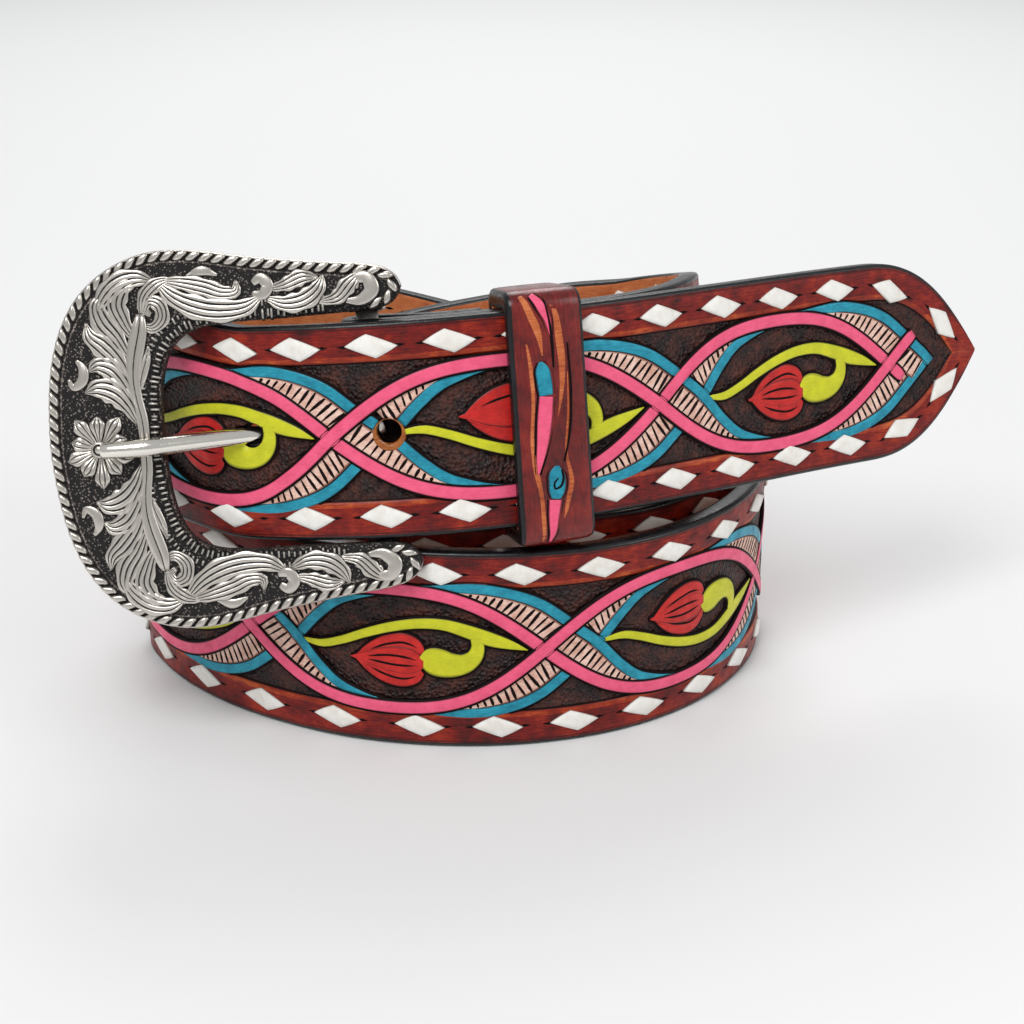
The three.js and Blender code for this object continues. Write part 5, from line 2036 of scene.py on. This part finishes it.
    def lay_leaf(self, draft: Draft, line: Values, flutes: int, base: float, height: float) -> None:
        """Adds a domed leaf with sharp valleys between its flutes.

        Args:
            draft: Draft in the frame's own directions.
            line: Rows of right, up and width.
            flutes: Number of flutes across.
            base: Height of its foot.
            height: Height of its crest above the foot.
        """
        path, width = line[:, :2], np.clip(line[:, 2] * self.leaf_spread, 0.15, None)
        side = normals_of(path)
        cuts = [2 * k / flutes - 1 for k in range(1, flutes)]
        lines = [-1.0, -0.9, -0.6, 0.6, 0.9, 1.0] + [c + d for c in cuts for d in (-0.13, 0.0, 0.13)]
        lines += [2 * (k + 0.5) / flutes - 1 for k in range(flutes)]
        share = np.unique(np.round(lines, 3))
        dome = np.sqrt(np.clip(1 - (share * 0.94) ** 2, 0, 1))
        near = np.min([np.abs(share - c) for c in cuts + [9.0]], axis=0)
        crest = np.clip(near / 0.13, 0, 1)
        rows = np.empty((len(path), len(share) + 2, 3))
        relief = np.zeros((len(path), len(share) + 2))
        grow = np.clip(width / 2.6, 0.45, 1.0)
        swell = np.sin(4 * np.pi * np.linspace(0, 1, len(path))) ** 2 - 0.5
        lobes = 1 + self.lobe_depth * swell * (flutes > 3)
        for j, q in enumerate(share):
            rows[:, j, :2] = path + side * (width / 2 * q * (lobes if abs(q) > 0.85 else 1))[:, None]
            rows[:, j, 2] = base + height * grow * (0.6 + 0.4 * dome[j] - 0.3 * (1 - crest[j]))
            relief[:, j] = (0.95 if abs(q) < 1 else 0.0) * crest[j]
        rows[:, 0, 2] -= 0.2
        rows[:, len(share) - 1, 2] -= 0.2
        for j, q in ((len(share), 1.0), (len(share) + 1, -1.0)):
            rows[:, j, :2] = path + side * (width / 2 * q * lobes)[:, None]
            rows[:, j, 2] = base - 0.6
        draft.grid(rows, 0, relief)

    def scrollwork(self) -> bpy.types.Object:
        """Leaf scrolls along both halves of the frame."""
        draft = Draft()
        for sign in (1, -1):
            for leaf in LEAVES:
                line = curve_through(np.array(leaf.line), 26)
                line[:, 1] *= sign
                self.lay_leaf(draft, line, leaf.flutes, self.leaf_base, self.leaf_height)
        piece = draft.build("buckle_scrolls", [Finish.CAST.material()], self.place)
        return deliver(piece, "cast_silver")

    def flower(self) -> bpy.types.Object:
        """Flower with long and short pointed petals under the tongue's tip."""
        draft = Draft()
        centre = np.array([-self.flower_reach, -self.flower_drop])
        for k in range(self.petals):
            a = 2 * np.pi * (k + 0.5) / self.petals
            way = np.array([math.cos(a), math.sin(a)])
            size = self.petal_length + self.petal_rise * abs(math.sin(a))
            size *= 1.0 if k % 2 else self.short_petal
            rows = np.array([(*(centre + way * size * r), w) for r, w in PETAL])
            self.lay_leaf(draft, curve_through(rows, 18), 3, self.leaf_base, self.leaf_height + 0.1)
        turn = np.linspace(0, 2 * np.pi, 28, endpoint=False)
        rings = []
        for r, z, _ in FLOWER_EYE:
            rings.append([(centre[0] + r * math.cos(a), centre[1] + r * math.sin(a), z) for a in turn])
        draft.grid(np.array(rings), 0, np.array([[relief] * len(turn) for _, _, relief in FLOWER_EYE]))
        piece = draft.build("buckle_flower", [Finish.CAST.material()], self.place)
        return deliver(piece, "cast_silver")

    def add_tongue(self, draft: Draft, grow: float) -> None:
        """Adds the tongue's rod and its ring.

        Args:
            draft: Draft in the frame's own directions.
            grow: How much larger it is made all round, in millimetres.
        """
        bar = self.inside(self.bar)
        front = self.front_height + 0.6 + self.tongue_radius + 0.3
        back = bar[2] + self.tongue_lift
        start = bar[0] - self.strap.bar_radius - self.strap.bar_clearance - 0.9
        spine = [(start, bar[2], 1.0), ((bar[0] + self.tongue_dive) / 2, (bar[2] + back) / 2, 1.0)]
        for t in np.linspace(0, 1, 16):
            spine.append((self.tongue_dive - (self.tongue_dive + self.tongue_bend) * t,
                back + (front - back) * t**self.tongue_rise, 1.0))
        spine.append((-self.tongue_bend - 2.6, front, 0.97))
        for short, size in ((1.2, 0.9), (0.3, 0.84), (0.06, 0.7), (0.0, 0.45)):
            spine.append((-self.tongue_tip + short * self.tongue_radius, front - 0.1, size))
        slope = self.flower_drop / (self.tongue_tip + bar[0])
        turn = np.linspace(0, 2 * np.pi, 26, endpoint=False)
        side = normals_of(np.array([(x, z) for x, z, _ in spine]))
        rings = []
        for (x, z, size), n in zip(spine, side):
            r = self.tongue_radius * size + grow
            y = (x - bar[0]) * slope
            rings.append([(x + n[0] * r * math.sin(a), y + r * math.cos(a),
                z + n[1] * r * math.sin(a)) for a in turn])
        draft.grid(np.array(rings), 0, np.ones((len(rings), len(turn))))
        radius, half = self.strap.bar_radius + self.strap.bar_clearance, self.sleeve_width / 2 + grow
        rims = ((radius, -half), (radius + 2.2 + grow, -half), (radius + 2.4 + grow, 0.2 - half),
                (radius + 2.4 + grow, half - 0.2), (radius + 2.2 + grow, half), (radius, half))
        sleeve = [[(bar[0] + r * math.cos(a), y, bar[2] + r * math.sin(a)) for a in turn] for r, y in rims]
        if grow > 0:
            draft.grid(np.array(sleeve[1:5]), 0)
            return
        draft.grid(np.array(sleeve).transpose(1, 0, 2), 0, np.ones((len(turn), 6)), ring=True)

    def slot_tool(self) -> bpy.types.Object:
        """The tongue's shape with some clearance, to cut the slot in the fold."""
        draft = Draft()
        self.add_tongue(draft, self.slot_clearance)
        return draft.build("slot_cutter", [Finish.CUT.material()], self.place)

    def tongue(self) -> bpy.types.Object:
        """Bright tongue: ring round the bar and a bent rod that rests on the frame."""
        draft = Draft()
        self.add_tongue(draft, 0.0)
        piece = draft.build("tongue", [Finish.NICKEL.material()], self.place)
        return deliver(piece, "bright_metal", "buckle_tongue")


# Stage


@dataclass
class Stage:
    """Pale floor, soft studio lights and the camera at the photograph's angle."""

    location: tuple[float, float, float] = (-5.355, -368.27, 180.42)
    target: tuple[float, float, float] = (-5.355, 0.964, 26.585)
    lens: float = 70.3
    floor_half: float = 6.0

    def build(self) -> None:
        """Makes the floor, the lights and the camera."""
        h = self.floor_half
        mesh = bpy.data.meshes.new("floor")
        mesh.from_pydata([(-h, -h, 0), (h, -h, 0), (h, h, 0), (-h, h, 0)], [], [(0, 1, 2, 3)])
        floor = bpy.data.objects.new("floor", mesh)
        bpy.context.scene.collection.objects.link(floor)
        w = Wiring("Pale floor")
        w.shader.inputs["Base Color"].default_value = (0.83, 0.83, 0.83, 1)
        w.set(Roughness=0.75, Specular_IOR_Level=0.2)
        mesh.materials.append(w.material)
        world = bpy.data.worlds.new("Studio")
        world.use_nodes = True
        sky = world.node_tree.nodes["Background"]
        sky.inputs["Color"].default_value = (0.98, 0.99, 1.0, 1)
        sky.inputs["Strength"].default_value = 0.5
        bpy.context.scene.world = world
        bpy.context.scene.view_settings.view_transform = "Standard"
        lamps = (("key", (-0.25, -0.55, 0.75), 0.5, 4.3), ("side", (0.75, -0.35, 0.5), 0.5, 1.6),
            ("back", (0.0, 0.8, 0.8), 0.7, 4.4))
        for label, place, size, power in lamps:
            data = bpy.data.lights.new(label, "AREA")
            data.shape = "DISK"
            data.size = size
            data.energy = power
            lamp = bpy.data.objects.new(label, data)
            lamp.location = place
            lamp.rotation_euler = (Vector((0, 0, 0.04)) - Vector(place)).to_track_quat("-Z", "Y").to_euler()
            bpy.context.scene.collection.objects.link(lamp)
        data = bpy.data.cameras.new("camera")
        data.lens = self.lens
        data.sensor_width = 36
        data.clip_start, data.clip_end = 0.01, 20
        camera = bpy.data.objects.new("camera", data)
        camera.location = Vector(self.location) * MM
        aim = Vector(self.target) - Vector(self.location)
        camera.rotation_euler = aim.to_track_quat("-Z", "Y").to_euler()
        bpy.context.scene.collection.objects.link(camera)
        bpy.context.scene.camera = camera


def dress_node(node: str, finish: Finish) -> None:
    """Gives a CAD node's slots a finish."""
    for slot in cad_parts[node].material_slots:
        slot.material = finish.material()


def main() -> None:
    """Builds every piece in order."""
    logging.basicConfig(level=logging.INFO, format="%(message)s")
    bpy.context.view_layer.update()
    Stage().build()
    strap = Strap()
    holes = Holes(strap)
    buckle = Buckle(strap)
    StrapBody(strap, slot=buckle.slot_tool()).build()
    tooling = Tooling(strap, holes)
    tooling.pink()
    tooling.bands()
    tooling.scrolls()
    holes.build()
    Lacing(strap).build()
    Keeper(strap).build()
    buckle.frame()
    buckle.rope()
    buckle.scrollwork()
    buckle.flower()
    buckle.tongue()
    dress_node("turnback_rivet_1", Finish.CAST)
    LOG.info("all pieces made")
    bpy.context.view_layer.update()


if __name__ == "__main__":
    main()
